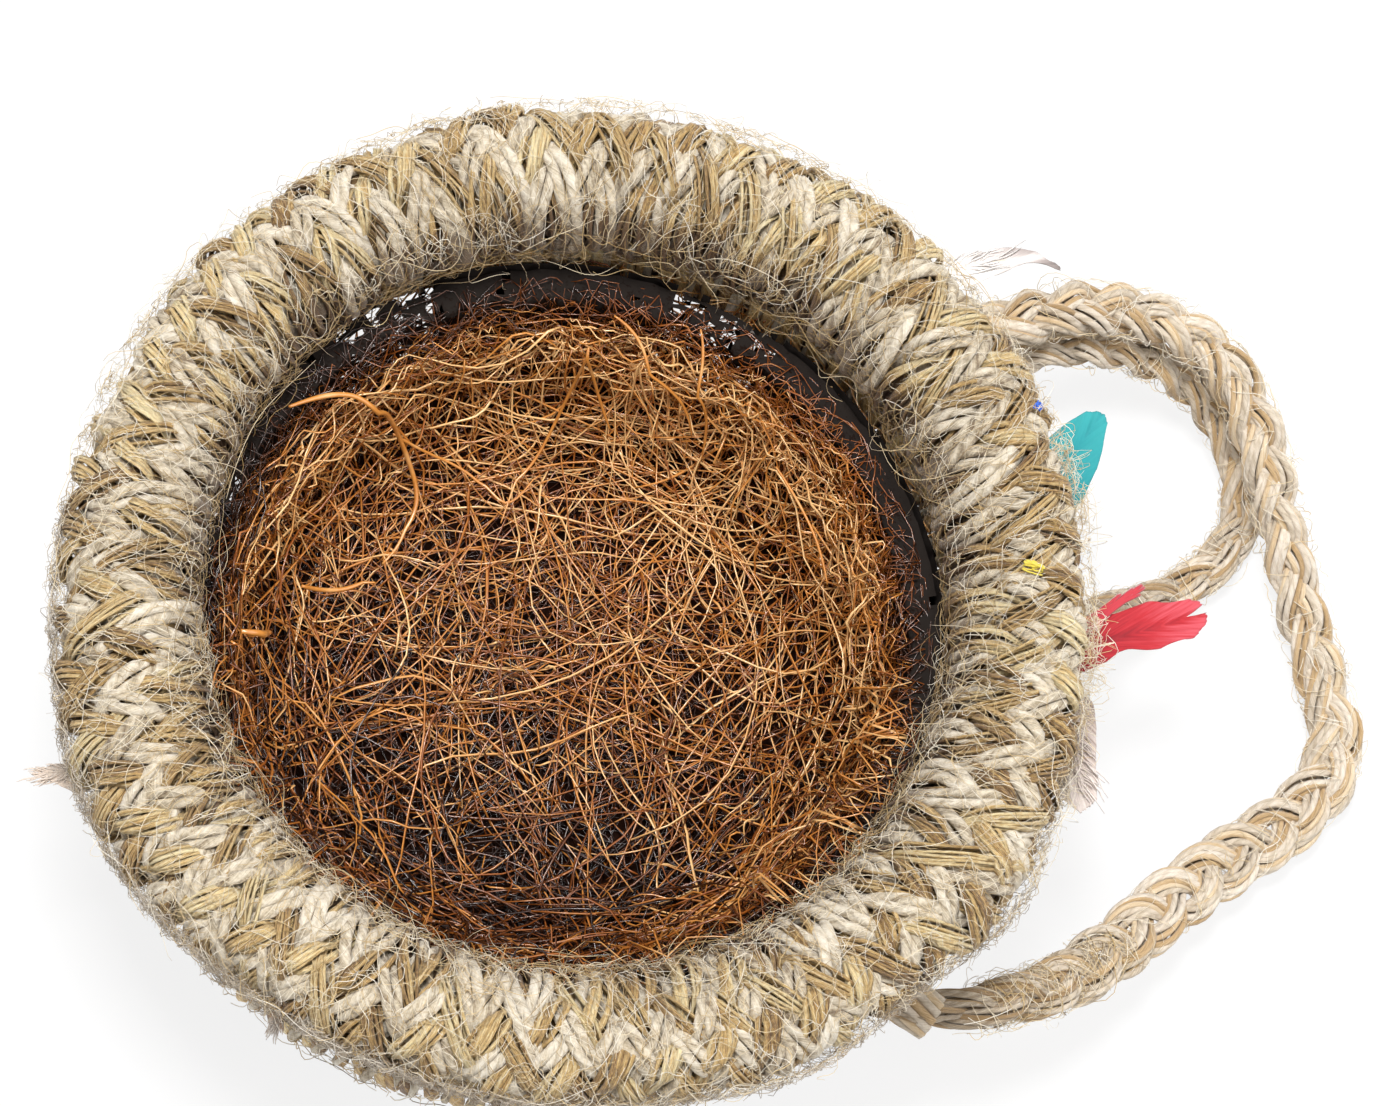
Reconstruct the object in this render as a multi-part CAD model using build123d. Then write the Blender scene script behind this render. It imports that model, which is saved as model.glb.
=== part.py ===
from build123d import *
import math
import os

# A small round hanging basket: a thick lashed rim roll over a bound collar, a coir bowl
# below them, a plaited hanger that lies slack beside it, and dyed feathers as trim.
# The basket stands on its flat bottom at z = 0 with its mouth up.  The rim's axis is the
# Z axis, and the hanger lies on the +X side.  All sizes are in millimetres.

# --- driving sizes -------------------------------------------------------------------
RIM_RADIUS = 64.6        # centre line of the rim roll
RIM_HEIGHT = 53.1        # centre line of the rim roll above the flat bottom
ROLL_CORE_R = 6.6        # packed fibre core of the rim roll
HOOP_WIRE_R = 1.5        # wire hoop that keeps the rim round
HOOP_CLEARANCE = 0.2     # slack of the wire in its groove

RIM_TURNS = 62           # turns of each lashing round the rim roll
JUTE_R = 1.1             # jute bundle of the rim lashing
COTTON_R = 0.7           # cotton yarn of the rim lashing
LEAN = 18.0              # degrees that each turn leans from square across the roll
LASHING_GAP = 0.15       # slack between one lashing layer and the next

COLLAR_OUT = 0.0         # how far the collar's centre line stands out past the rim's
COLLAR_CORE_R = 4.3      # core of the collar
COLLAR_YARN_R = 0.85     # yarn that binds the collar
COLLAR_TURNS = 78        # turns of that yarn
SEAT_GAP = 0.3           # seam between the rim roll and the collar
BOWL_SHIFT = (-2.0, -2.4)  # the bowl and its collar hang a little off the rim's axis

BOWL_RISE = 5.5          # how far the bowl's edge stands above the collar's centre line
BOWL_TOP_CLEARANCE = 0.35  # seam between the bowl's edge and the collar
BOWL_FLAT_R = 34.0       # radius of the flat bottom
BOWL_EDGE_WALL = 5.5     # thickness of the coir at the upper edge
BOWL_BOTTOM_WALL = 8.0   # thickness of the coir at the bottom
BOWL_FLOOR_R = 31.0      # radius of the flat part of the floor inside

MAIN_PLAIT_D = 8.5       # long plait of the hanger
SIDE_PLAIT_D = 7.0       # short plait of the hanger
WHIPPING_WALL = 0.55     # bound yarn round a plait's end
WHIPPING_LENGTH = 8.0    # length of that binding

QUILL_R = 0.55           # shaft of a feather
VANE_THICKNESS = 0.5     # barbs of a feather, pressed flat
VANE_GAP = 0.12          # space between a vane and its shaft
FLECK_GAP = 0.25         # space between a stray dyed yarn and the lashing

# Each route is one free plait, from the end of one binding to the end of the other.
MAIN_ROUTE = [
    (59.9, 47.2, 34.6),
    (67.8, 51.1, 33.6),
    (76.6, 54.7, 30.8),
    (85.9, 56.1, 27.0),
    (95.3, 55.1, 22.8),
    (103.3, 50.8, 18.8),
    (108.5, 43.0, 15.6),
    (111.4, 33.5, 12.8),
    (114.4, 23.7, 9.0),
    (117.4, 13.3, 5.9),
    (120.5, 3.2, 4.4),
    (122.8, -5.8, 4.3),
    (119.8, -14.4, 4.4),
    (111.4, -21.4, 5.4),
    (101.4, -27.9, 8.2),
    (91.8, -35.8, 12.8),
    (82.4, -44.2, 19.0),
    (73.0, -50.6, 25.8),
    (64.4, -54.0, 31.3),
    (57.1, -55.5, 34.0),
]
SIDE_ROUTE = [
    (60.4, 44.0, 27.1),
    (69.4, 49.0, 25.4),
    (78.1, 51.5, 22.6),
    (86.8, 52.6, 18.4),
    (94.7, 51.7, 14.0),
    (101.3, 48.5, 9.8),
    (106.3, 42.9, 6.2),
    (108.9, 35.4, 4.0),
    (108.2, 27.9, 3.6),
    (104.4, 22.6, 3.6),
    (100.2, 17.3, 5.2),
    (94.4, 12.9, 9.6),
    (87.9, 9.9, 15.6),
    (82.4, 7.6, 22.0),
    (76.5, 5.1, 29.5),
]

os.makedirs("parts", exist_ok=True)


def save(name, shape):
    """Write one named piece, or one set of equal pieces, to its own file."""
    export_step(shape, f"parts/{name}.step")


def ring_of_turns(centre_radius, turn_radius, yarn_radius, turns, lean, phase):
    """Closed turns of yarn round a ring, each leaning by the same angle."""
    shapes = []
    for number in range(turns):
        angle = 360 * (number + phase) / turns
        turn = Rot(90, 0, 0) * Torus(turn_radius, yarn_radius)
        shapes.append(Rot(0, 0, angle) * Pos(centre_radius, 0, 0) * Rot(0, 0, lean) * turn)
    return shapes


# --- rim: wire hoop, packed core and two crossed lashings -----------------------------
HOOP_DROP = ROLL_CORE_R - HOOP_WIRE_R
groove = Torus(RIM_RADIUS, HOOP_WIRE_R + HOOP_CLEARANCE)
core = Torus(RIM_RADIUS, ROLL_CORE_R) - Pos(0, 0, -HOOP_DROP) * groove
save("rim_core", Pos(0, 0, RIM_HEIGHT) * core)
hoop = Torus(RIM_RADIUS, HOOP_WIRE_R)
save("rim_hoop", Pos(0, 0, RIM_HEIGHT - HOOP_DROP) * hoop)

# A leaning turn is widened so that it still clears what it goes round.
LEAN_COSINE = math.cos(math.radians(LEAN))
JUTE_TURN_R = (ROLL_CORE_R + LASHING_GAP + JUTE_R) / LEAN_COSINE
COTTON_TURN_R = JUTE_TURN_R + (JUTE_R + LASHING_GAP + COTTON_R) / LEAN_COSINE
jute_turns = ring_of_turns(RIM_RADIUS, JUTE_TURN_R, JUTE_R, RIM_TURNS, LEAN, 0.0)
cotton_turns = ring_of_turns(RIM_RADIUS, COTTON_TURN_R, COTTON_R, RIM_TURNS, -LEAN, 0.5)
save("rim_jute_lashing", Pos(0, 0, RIM_HEIGHT) * Compound(children=jute_turns))
save("rim_cotton_lashing", Pos(0, 0, RIM_HEIGHT) * Compound(children=cotton_turns))
ROLL_R = COTTON_TURN_R + COTTON_R

# --- collar: a thinner bound ring under the rim ----------------------------------------
COLLAR_RADIUS = RIM_RADIUS + COLLAR_OUT
COLLAR_TURN_R = (COLLAR_CORE_R + LASHING_GAP + COLLAR_YARN_R) / LEAN_COSINE
COLLAR_R = COLLAR_TURN_R + COLLAR_YARN_R
COLLAR_HEIGHT = RIM_HEIGHT - ROLL_R - SEAT_GAP - COLLAR_R
collar_place = Pos(BOWL_SHIFT[0], BOWL_SHIFT[1], COLLAR_HEIGHT)
save("collar_core", collar_place * Torus(COLLAR_RADIUS, COLLAR_CORE_R))
collar_turns = ring_of_turns(
    COLLAR_RADIUS, COLLAR_TURN_R, COLLAR_YARN_R, COLLAR_TURNS, LEAN, 0.0
)
save("collar_lashing", collar_place * Compound(children=collar_turns))

# --- bowl: a felted coir shell with a flat bottom ---------------------------------------
BOWL_TOP = COLLAR_HEIGHT + BOWL_RISE
COLLAR_INSIDE = COLLAR_RADIUS - COLLAR_TURN_R * LEAN_COSINE - COLLAR_YARN_R
BOWL_TOP_R = COLLAR_INSIDE - BOWL_TOP_CLEARANCE
BOWL_INSIDE_R = BOWL_TOP_R - BOWL_EDGE_WALL
with BuildPart() as bowl:
    with BuildSketch(Plane.XZ):
        with BuildLine():
            outer_centre = (BOWL_FLAT_R, BOWL_TOP)
            outer = EllipticalCenterArc(
                outer_centre,
                BOWL_TOP_R - BOWL_FLAT_R,
                BOWL_TOP,
                start_angle=270,
                arc_size=90,
            )
            edge = Line((BOWL_TOP_R, BOWL_TOP), (BOWL_INSIDE_R, BOWL_TOP))
            inner_centre = (BOWL_FLOOR_R, BOWL_TOP)
            inner = EllipticalCenterArc(
                inner_centre,
                BOWL_INSIDE_R - BOWL_FLOOR_R,
                BOWL_TOP - BOWL_BOTTOM_WALL,
                start_angle=270,
                arc_size=90,
            )
            floor = Line((BOWL_FLOOR_R, BOWL_BOTTOM_WALL), (0, BOWL_BOTTOM_WALL))
            axis = Line((0, BOWL_BOTTOM_WALL), (0, 0))
            bottom = Line((0, 0), (BOWL_FLAT_R, 0))
        make_face()
    revolve(axis=Axis.Z)
save("coir_bowl", Pos(BOWL_SHIFT[0], BOWL_SHIFT[1], 0) * bowl.part)


# --- hanger: two slack plaits, each with its ends bound at the collar --------------------
def plait(name, route, diameter):
    """A plain round tube along a free plait, with arcs as large as its runs allow."""
    points = [Vector(*point) for point in route]
    radii = []
    for before, corner, after in zip(points, points[1:], points[2:]):
        turn = (corner - before).get_angle(after - corner)
        shorter = min((corner - before).length, (after - corner).length)
        radii.append(0.45 * shorter / math.tan(math.radians(turn) / 2))
    path = FilletPolyline(*points, radius=radii)
    start = Plane(origin=points[0], z_dir=points[1] - points[0])
    tube = sweep(start * Circle(diameter / 2), path=path)
    section = math.pi * diameter**2 / 4
    share = tube.volume / (section * path.length)
    print(name, "length", round(path.length, 1), "smallest radius", round(min(radii), 1))
    print(name, "volume share", round(share, 4), "radii", [round(r) for r in radii])
    save(name, tube)


def whipping(name, end, next_point, diameter):
    """The bound end of a plait, face to face with the free plait that leaves it."""
    outward = Vector(*next_point) - Vector(*end)
    place = Plane(origin=end, z_dir=outward)
    binding = Cylinder(
        diameter / 2 + WHIPPING_WALL,
        WHIPPING_LENGTH,
        align=(Align.CENTER, Align.CENTER, Align.MAX),
    )
    save(name, place * binding)


plait("hanger_main_plait", MAIN_ROUTE, MAIN_PLAIT_D)
plait("hanger_side_plait", SIDE_ROUTE, SIDE_PLAIT_D)
whipping("whipping_main_back", MAIN_ROUTE[0], MAIN_ROUTE[1], MAIN_PLAIT_D)
whipping("whipping_main_front", MAIN_ROUTE[-1], MAIN_ROUTE[-2], MAIN_PLAIT_D)
whipping("whipping_side_back", SIDE_ROUTE[0], SIDE_ROUTE[1], SIDE_PLAIT_D)
whipping("whipping_side_front", SIDE_ROUTE[-1], SIDE_ROUTE[-2], SIDE_PLAIT_D)


# --- trim: feathers caught in the seam, and two stray dyed yarns --------------------------
ROOT_BELOW = 62.0        # degrees below level, seen from the roll's centre, of a feather's root
TURN_STEP = 360 / RIM_TURNS
TURN_OUT = COTTON_TURN_R * math.cos(math.radians(ROOT_BELOW))
TURN_SIDEWAYS = -TURN_OUT * math.sin(math.radians(LEAN))
TURN_RADIUS = RIM_RADIUS + TURN_OUT * LEAN_COSINE
TURN_HEIGHT = RIM_HEIGHT - COTTON_TURN_R * math.sin(math.radians(ROOT_BELOW))
ROOT_HEIGHT = TURN_HEIGHT - COTTON_R - SEAT_GAP - QUILL_R


def feather(name, root_angle, heading, length, width, vane_start, drop, roundness):
    """A feather's shaft and flat vane, rooted under the cotton turn nearest an angle."""
    turn = (round(root_angle / TURN_STEP - 0.5) + 0.5) * TURN_STEP
    root = Vector(TURN_RADIUS, TURN_SIDEWAYS, ROOT_HEIGHT).rotate(Axis.Z, turn)
    along = Vector(
        math.cos(math.radians(heading)),
        math.sin(math.radians(heading)),
        -math.tan(math.radians(drop)),
    )
    level = Vector(-math.sin(math.radians(heading)), math.cos(math.radians(heading)), 0)
    place = Plane(origin=root, x_dir=along, z_dir=along.cross(level))
    shaft = Pos(length / 2, 0, 0) * Rot(0, 90, 0) * Cone(QUILL_R, QUILL_R / 2, length)
    save(name + "_quill", place * shaft)
    blade = length - vane_start
    shoulder = vane_start + blade * roundness
    with BuildPart() as vane:
        with BuildSketch():
            with BuildLine():
                Spline(
                    (vane_start, 0),
                    (vane_start + blade * 0.2, width * 0.36),
                    (shoulder, width / 2),
                    (length, 0),
                )
                Spline(
                    (length, 0),
                    (shoulder, -width / 2),
                    (vane_start + blade * 0.2, -width * 0.36),
                    (vane_start, 0),
                )
            make_face()
        extrude(amount=VANE_THICKNESS)
    save(name + "_vane", place * Pos(0, 0, QUILL_R + VANE_GAP) * vane.part)


feather("teal_feather", 15.0, 55.0, 22.0, 9.0, 4.0, 6.0, 0.6)
feather("red_feather", -1.5, 18.5, 27.5, 9.0, 5.0, 8.0, 0.75)
feather("grey_feather", 52.0, 16.0, 26.5, 6.0, 1.5, 4.0, 0.45)
feather("pale_feather", -6.0, -57.0, 17.0, 8.0, 3.0, 10.0, 0.6)
feather("cream_feather", -162.0, -170.0, 13.5, 3.6, 3.0, 8.0, 0.5)
feather("brown_feather", -125.0, -104.0, 8.0, 3.4, 2.5, 14.0, 0.6)


def stray_yarn(name, angle, above_level, length, radius, twist):
    """A short dyed yarn that lies on the rim lashing."""
    out = ROLL_R + FLECK_GAP + radius
    place = Rot(0, 0, angle) * Pos(RIM_RADIUS, 0, RIM_HEIGHT) * Rot(0, 90 - above_level, 0)
    yarn = Cylinder(radius, length, rotation=(90, 0, 0))
    save(name, place * Pos(0, 0, out) * Rot(0, 0, twist) * yarn)


stray_yarn("yellow_yarn", 3.0, 88.0, 3.6, 0.7, 70.0)
stray_yarn("blue_yarn", 23.4, 46.0, 1.4, 0.5, 20.0)
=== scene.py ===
# %% [markdown]
# # A small hanging basket of coir, jute and cotton
# The basket has a thick rim, lashed with golden jute and cream cotton, a bowl of loose coir
# fibre, a slack plaited hanger that lies beside it, and a few dyed feathers tucked under
# the rim. Nothing on it is smooth: every part is yarn or fibre. So most pieces here are
# bundles of thin tubes whose paths are worked out with numpy, because no modelling tool
# lays thousands of fibres by hand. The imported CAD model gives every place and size.

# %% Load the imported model
import bpy
import math
import numpy as np
from mathutils import Matrix, Vector


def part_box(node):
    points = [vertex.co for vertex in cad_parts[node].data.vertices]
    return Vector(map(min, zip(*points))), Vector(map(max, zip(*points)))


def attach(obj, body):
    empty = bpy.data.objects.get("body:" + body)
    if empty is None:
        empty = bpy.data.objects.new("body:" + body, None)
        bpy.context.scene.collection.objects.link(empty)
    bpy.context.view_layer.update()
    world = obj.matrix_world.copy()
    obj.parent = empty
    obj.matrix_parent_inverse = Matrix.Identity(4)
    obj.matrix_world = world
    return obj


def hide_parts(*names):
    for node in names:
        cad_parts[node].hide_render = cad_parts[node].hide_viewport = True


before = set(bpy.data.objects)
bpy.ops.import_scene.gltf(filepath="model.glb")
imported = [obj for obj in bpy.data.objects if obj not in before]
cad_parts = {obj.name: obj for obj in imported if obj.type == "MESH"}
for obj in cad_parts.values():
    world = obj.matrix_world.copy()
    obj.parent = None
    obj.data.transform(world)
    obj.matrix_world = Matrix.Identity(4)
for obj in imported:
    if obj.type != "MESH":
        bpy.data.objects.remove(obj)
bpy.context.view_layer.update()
bpy.ops.object.select_all(action="DESELECT")
MM = 0.001

# %% [markdown]
# ## The sizes that everything else follows
# The rim and the collar are rings, so the box of each CAD node gives its centre line and
# its thickness. The sizes could be typed in again, but then a change in the CAD model
# would leave the looks behind. The script works in millimetres, as a maker would, and
# turns them into metres only when a mesh is built.

# %% Read the sizes from the frame
def node_box(name):
    """Lowest and highest corner of a CAD node, in millimetres."""
    low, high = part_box(name)
    return np.array(low) / MM, np.array(high) / MM


core_low, core_high = node_box("rim_core")
core_radius = (core_high[2] - core_low[2]) / 2
rim_radius = core_high[0] - core_radius
rim_height = (core_high[2] + core_low[2]) / 2
collar_low, collar_high = node_box("collar_core")
collar_core_radius = (collar_high[2] - collar_low[2]) / 2
collar_centre = (collar_low + collar_high) / 2
collar_radius = (collar_high[0] - collar_low[0]) / 2 - collar_core_radius
bowl_low, bowl_high = node_box("coir_bowl")
bowl_centre = (bowl_low + bowl_high) / 2
bowl_top = bowl_high[2]
bowl_outer = (bowl_high[0] - bowl_low[0]) / 2
print("rim", rim_radius, rim_height, "collar", collar_radius, collar_centre, "bowl", bowl_outer)

# %% [markdown]
# ## Camera
# The basket is seen almost straight down. A long lens from 0.8 m keeps its sides nearly
# parallel, which a short lens close by would not. The camera leans a little towards the
# near left, and its own upright is the frame's Y axis, so the hanger stays on the right.

# %% Place the camera
CAMERA_DISTANCE = 800.0
CAMERA_LEAN = math.radians(17)
CAMERA_TURN = math.radians(20)
LENS = 142.9
aim = Vector((16.5, 7.4, rim_height))
back = Vector((
    -math.sin(CAMERA_LEAN) * math.sin(CAMERA_TURN),
    -math.sin(CAMERA_LEAN) * math.cos(CAMERA_TURN),
    math.cos(CAMERA_LEAN),
))
right = Vector((0, 1, 0)).cross(back).normalized()
upright = back.cross(right)
camera_data = bpy.data.cameras.new("camera")
camera_data.sensor_width = 36
camera_data.lens = LENS
camera_data.clip_start = 0.01
camera = bpy.data.objects.new("camera", camera_data)
bpy.context.collection.objects.link(camera)
camera.matrix_world = Matrix.Translation(
    (aim + back * CAMERA_DISTANCE) * MM
) @ Matrix((right, upright, back)).transposed().to_4x4()
bpy.context.scene.camera = camera
print("camera at", [round(value, 3) for value in camera.location])

# %% [markdown]
# ## Colours and nodes
# Colours are written as the hex values that a paint chart gives, and one function turns
# them into the linear values that the renderer adds up. One other function adds a node,
# sets its values and links its inputs. Most colours here are ramps from dark to pale,
# because fibres of one kind differ more in shade than in hue.

# %% Colour and node helpers
def linear(code):
    """An sRGB hex colour as linear red, green, blue and alpha."""
    values = [int(code[i:i + 2], 16) / 255 for i in (1, 3, 5)]
    curve = [v / 12.92 if v <= 0.04045 else ((v + 0.055) / 1.055) ** 2.4 for v in values]
    return (*curve, 1.0)


def add_node(tree, kind, settings=None, stops=(), **inputs):
    """Add a node and hand back its outputs. An input is a value or another node's output,
    and the stops of a colour ramp are pairs of a position and a hex colour."""
    node = tree.nodes.new("ShaderNode" + kind)
    for key, value in (settings or {}).items():
        setattr(node, key, value)
    while stops and len(node.color_ramp.elements) < len(stops):
        node.color_ramp.elements.new(0.5)
    for number, (position, code) in enumerate(stops):
        node.color_ramp.elements[number].position = position
        node.color_ramp.elements[number].color = linear(code)
    for key, value in inputs.items():
        socket = node.inputs[int(key[1:])] if key[1:].isdigit() else node.inputs[key]
        if isinstance(value, bpy.types.NodeSocket):
            tree.links.new(value, socket)
        else:
            socket.default_value = value
    return node.outputs


def new_material(name, roughness, sheen=0.0, specular=0.5):
    """A material with one Principled shader, whose constants sit on its own sockets."""
    material = bpy.data.materials.new(name)
    material.use_nodes = True
    shader = material.node_tree.nodes["Principled BSDF"]
    shader.inputs["Roughness"].default_value = roughness
    shader.inputs["Sheen Weight"].default_value = sheen
    shader.inputs["Specular IOR Level"].default_value = specular
    return material, material.node_tree, shader

# %% [markdown]
# ## Light, floor and backdrop
# A soft lamp hangs high over the basket, a little behind it and to the left, so the far
# part of the rim shades the coir below it. A wider one at the right fills the shadows, and
# the world lights the rest. The floor is a sheet of white paper: the camera sees it almost
# pure white, but it still takes a shadow.

# %% Lamps and world
def area_lamp(name, place, size, power):
    """A square lamp at a place in metres that faces the middle of the basket."""
    data = bpy.data.lights.new(name, "AREA")
    data.size = size
    data.energy = power
    lamp = bpy.data.objects.new(name, data)
    bpy.context.collection.objects.link(lamp)
    lamp.location = place
    facing = Vector((0, 0, 0.03)) - Vector(place)
    lamp.rotation_euler = facing.to_track_quat("-Z", "Y").to_euler()


area_lamp("window_lamp", (-0.08, 0.13, 1.0), 0.25, 10.1)
area_lamp("fill_lamp", (0.75, -0.1, 0.8), 0.9, 4.3)
world = bpy.data.worlds.new("studio")
bpy.context.scene.world = world
world.use_nodes = True
sky = world.node_tree
light_path = add_node(sky, "LightPath")
seen = add_node(
    sky, "Math", {"operation": "MAXIMUM"}, _0=light_path["Is Camera Ray"], _1=light_path["Is Glossy Ray"],
)
seen = add_node(sky, "Math", {"operation": "MAXIMUM"}, _0=seen[0], _1=light_path["Is Transmission Ray"])
strength = add_node(sky, "MapRange", _0=seen[0], _3=0.47, _4=1.0)
sky.nodes["Background"].inputs["Color"].default_value = (1, 1, 1, 1)
sky.links.new(strength[0], sky.nodes["Background"].inputs["Strength"])
bpy.context.scene.view_settings.view_transform = "Standard"

# %% Floor
bpy.ops.mesh.primitive_plane_add(size=6, location=(0, 0, 0))
floor = bpy.context.object
floor.name = "paper_floor"
paper, tree, shader = new_material("white_paper", 0.9, specular=0.2)
shader.inputs["Base Color"].default_value = linear("#F4F4F4")
glow = add_node(tree, "Emission", Color=(1, 1, 1, 1), Strength=1.0)
path_kind = add_node(tree, "LightPath")
share = add_node(tree, "Math", {"operation": "MULTIPLY"}, _0=path_kind["Is Camera Ray"], _1=0.82)
mixed = add_node(tree, "MixShader", _0=share[0], _1=shader.outputs[0], _2=glow[0])
tree.links.new(mixed[0], tree.nodes["Material Output"].inputs["Surface"])
floor.data.materials.append(paper)
bpy.ops.object.select_all(action="DESELECT")
print("floor:", floor.name, "of", paper.name)

# %% [markdown]
# ## From paths to yarn
# A yarn, a fibre and a hair are all a thin tube along a path. A curve object with a round
# bevel makes such a tube too, but thousands of curves are slow, and each would need a
# shade of its own. So one function takes many paths of the same number of points and
# builds one mesh from them. It carries a frame along each path that turns as little as it
# can, puts the distance in millimetres into U and the turn round the tube into V, and
# stores a number, its tint, that the materials read.

# %% Directions along many paths at once
def unit(vectors):
    """Vectors scaled to length one."""
    return vectors / np.maximum(np.linalg.norm(vectors, axis=-1, keepdims=True), 1e-9)


def carried_normals(tangents, first):
    """A normal at every point, carried along each path with as little turn as possible."""
    normals = np.empty_like(tangents)
    current = first
    for step in range(tangents.shape[1]):
        along = tangents[:, step]
        current = unit(current - along * np.sum(current * along, -1, keepdims=True))
        normals[:, step] = current
    return normals

# %% Put a mesh on the basket's body
def placed(name, mesh, tints):
    """Put a mesh in the scene, smooth, on the basket's body and with a tint at each point."""
    mesh.attributes.new("tint", "FLOAT", "POINT").data.foreach_set("value", tints)
    mesh.polygons.foreach_set("use_smooth", np.ones(len(mesh.polygons), bool))
    piece = bpy.data.objects.new(name, mesh)
    bpy.context.collection.objects.link(piece)
    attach(piece, "root")
    return piece

# %% Build tubes along many paths
def tubes(name, paths, radii, sides, tint, closed=False, flat=1.0, slots=None):
    """One mesh object of tubes along paths, an array of tubes by points by three."""
    count, points, _ = paths.shape
    if closed:
        tangents = unit(np.roll(paths, -1, 1) - np.roll(paths, 1, 1))
    else:
        tangents = unit(np.gradient(paths, axis=1))
    helper = np.where(np.abs(tangents[:, 0, 2:3]) > 0.8, [[1.0, 0, 0]], [[0, 0, 1.0]])
    normals = carried_normals(tangents, np.cross(tangents[:, 0], helper))
    sideways = np.cross(tangents, normals)
    radii = np.broadcast_to(np.asarray(radii, float), (count, points))[..., None, None]
    turn = np.arange(sides) * 2 * math.pi / sides
    ring = np.cos(turn)[:, None] * normals[:, :, None] + flat * np.sin(turn)[:, None] * (
        sideways[:, :, None]
    )
    corners = (paths[:, :, None] + radii * ring).reshape(-1, 3) * MM
    spans = points if closed else points - 1
    tube, span, side = np.meshgrid(np.arange(count), np.arange(spans), np.arange(sides), indexing="ij")
    after, beside = (span + 1) % points, (side + 1) % sides
    index = lambda s, r: ((tube * points + s) * sides + r).ravel()
    quads = np.stack(
        [index(span, side), index(span, beside), index(after, beside), index(after, side)], 1
    )
    run = np.linalg.norm(np.diff(paths, axis=1, append=paths[:, :1]), axis=2)
    along = np.concatenate([np.zeros((count, 1)), np.cumsum(run, 1)], 1)
    u_low = along[tube, span].ravel()
    u_high = along[tube, span + 1].ravel()
    v_low = (side / sides).ravel()
    v_high = v_low + 1 / sides
    uv = np.stack([u_low, v_low, u_low, v_high, u_high, v_high, u_high, v_low], 1)
    loops, starts, totals = quads.ravel(), np.arange(len(quads)) * 4, [4] * len(quads)
    uv = uv.reshape(-1, 2)
    if not closed:
        first = np.arange(count)[:, None] * points * sides
        caps = np.concatenate(
            [first + np.arange(sides)[::-1], first + (points - 1) * sides + np.arange(sides)]
        )
        starts = np.concatenate([starts, len(loops) + np.arange(len(caps)) * sides])
        totals = np.concatenate([totals, [sides] * len(caps)])
        loops = np.concatenate([loops, caps.ravel()])
        uv = np.concatenate([uv, np.zeros((caps.size, 2))])
    mesh = bpy.data.meshes.new(name)
    mesh.vertices.add(len(corners))
    mesh.vertices.foreach_set("co", corners.ravel())
    mesh.loops.add(len(loops))
    mesh.loops.foreach_set("vertex_index", loops.astype(np.int32))
    mesh.polygons.add(len(starts))
    mesh.polygons.foreach_set("loop_start", np.asarray(starts, np.int32))
    mesh.polygons.foreach_set("loop_total", np.asarray(totals, np.int32))
    mesh.update(calc_edges=True)
    layer = mesh.uv_layers.new(name="along_and_round")
    layer.data.foreach_set("uv", uv.ravel())
    if np.ndim(tint) < 2:
        tint = np.reshape(tint, (-1, 1))
    shade = np.repeat(np.broadcast_to(tint, (count, points)).astype(float), sides)
    if slots is not None:
        per_span = np.repeat(slots, spans * sides)
        per_cap = np.concatenate([slots, slots]) if not closed else []
        chosen = np.concatenate([per_span, per_cap]).astype(np.int32)
        mesh.polygons.foreach_set("material_index", chosen)
    mesh.validate()
    print(name, "tubes", count, "triangles", len(quads) * 2)
    return placed(name, mesh, shade)

# %% Dress a piece
def dress(piece, slot, *materials):
    """Give a piece its materials. The slot argument is not used."""
    for material in materials:
        piece.data.materials.append(material)

# %% [markdown]
# ## Yarn and fibre materials
# Jute is a bast fibre: long, flat, shiny strands, spun once and loosely, so light runs
# along it in golden streaks. Cotton yarn is spun from short staple and plied, so it is
# matt and cream with a fine twist. Coir is the husk of the coconut: stiff, round, glossy
# hairs from straw gold to near black. A ready-made pattern would show its repeats from so
# near. So the patterns are noise that is drawn out along the yarn, through U in
# millimetres and V round it.

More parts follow.
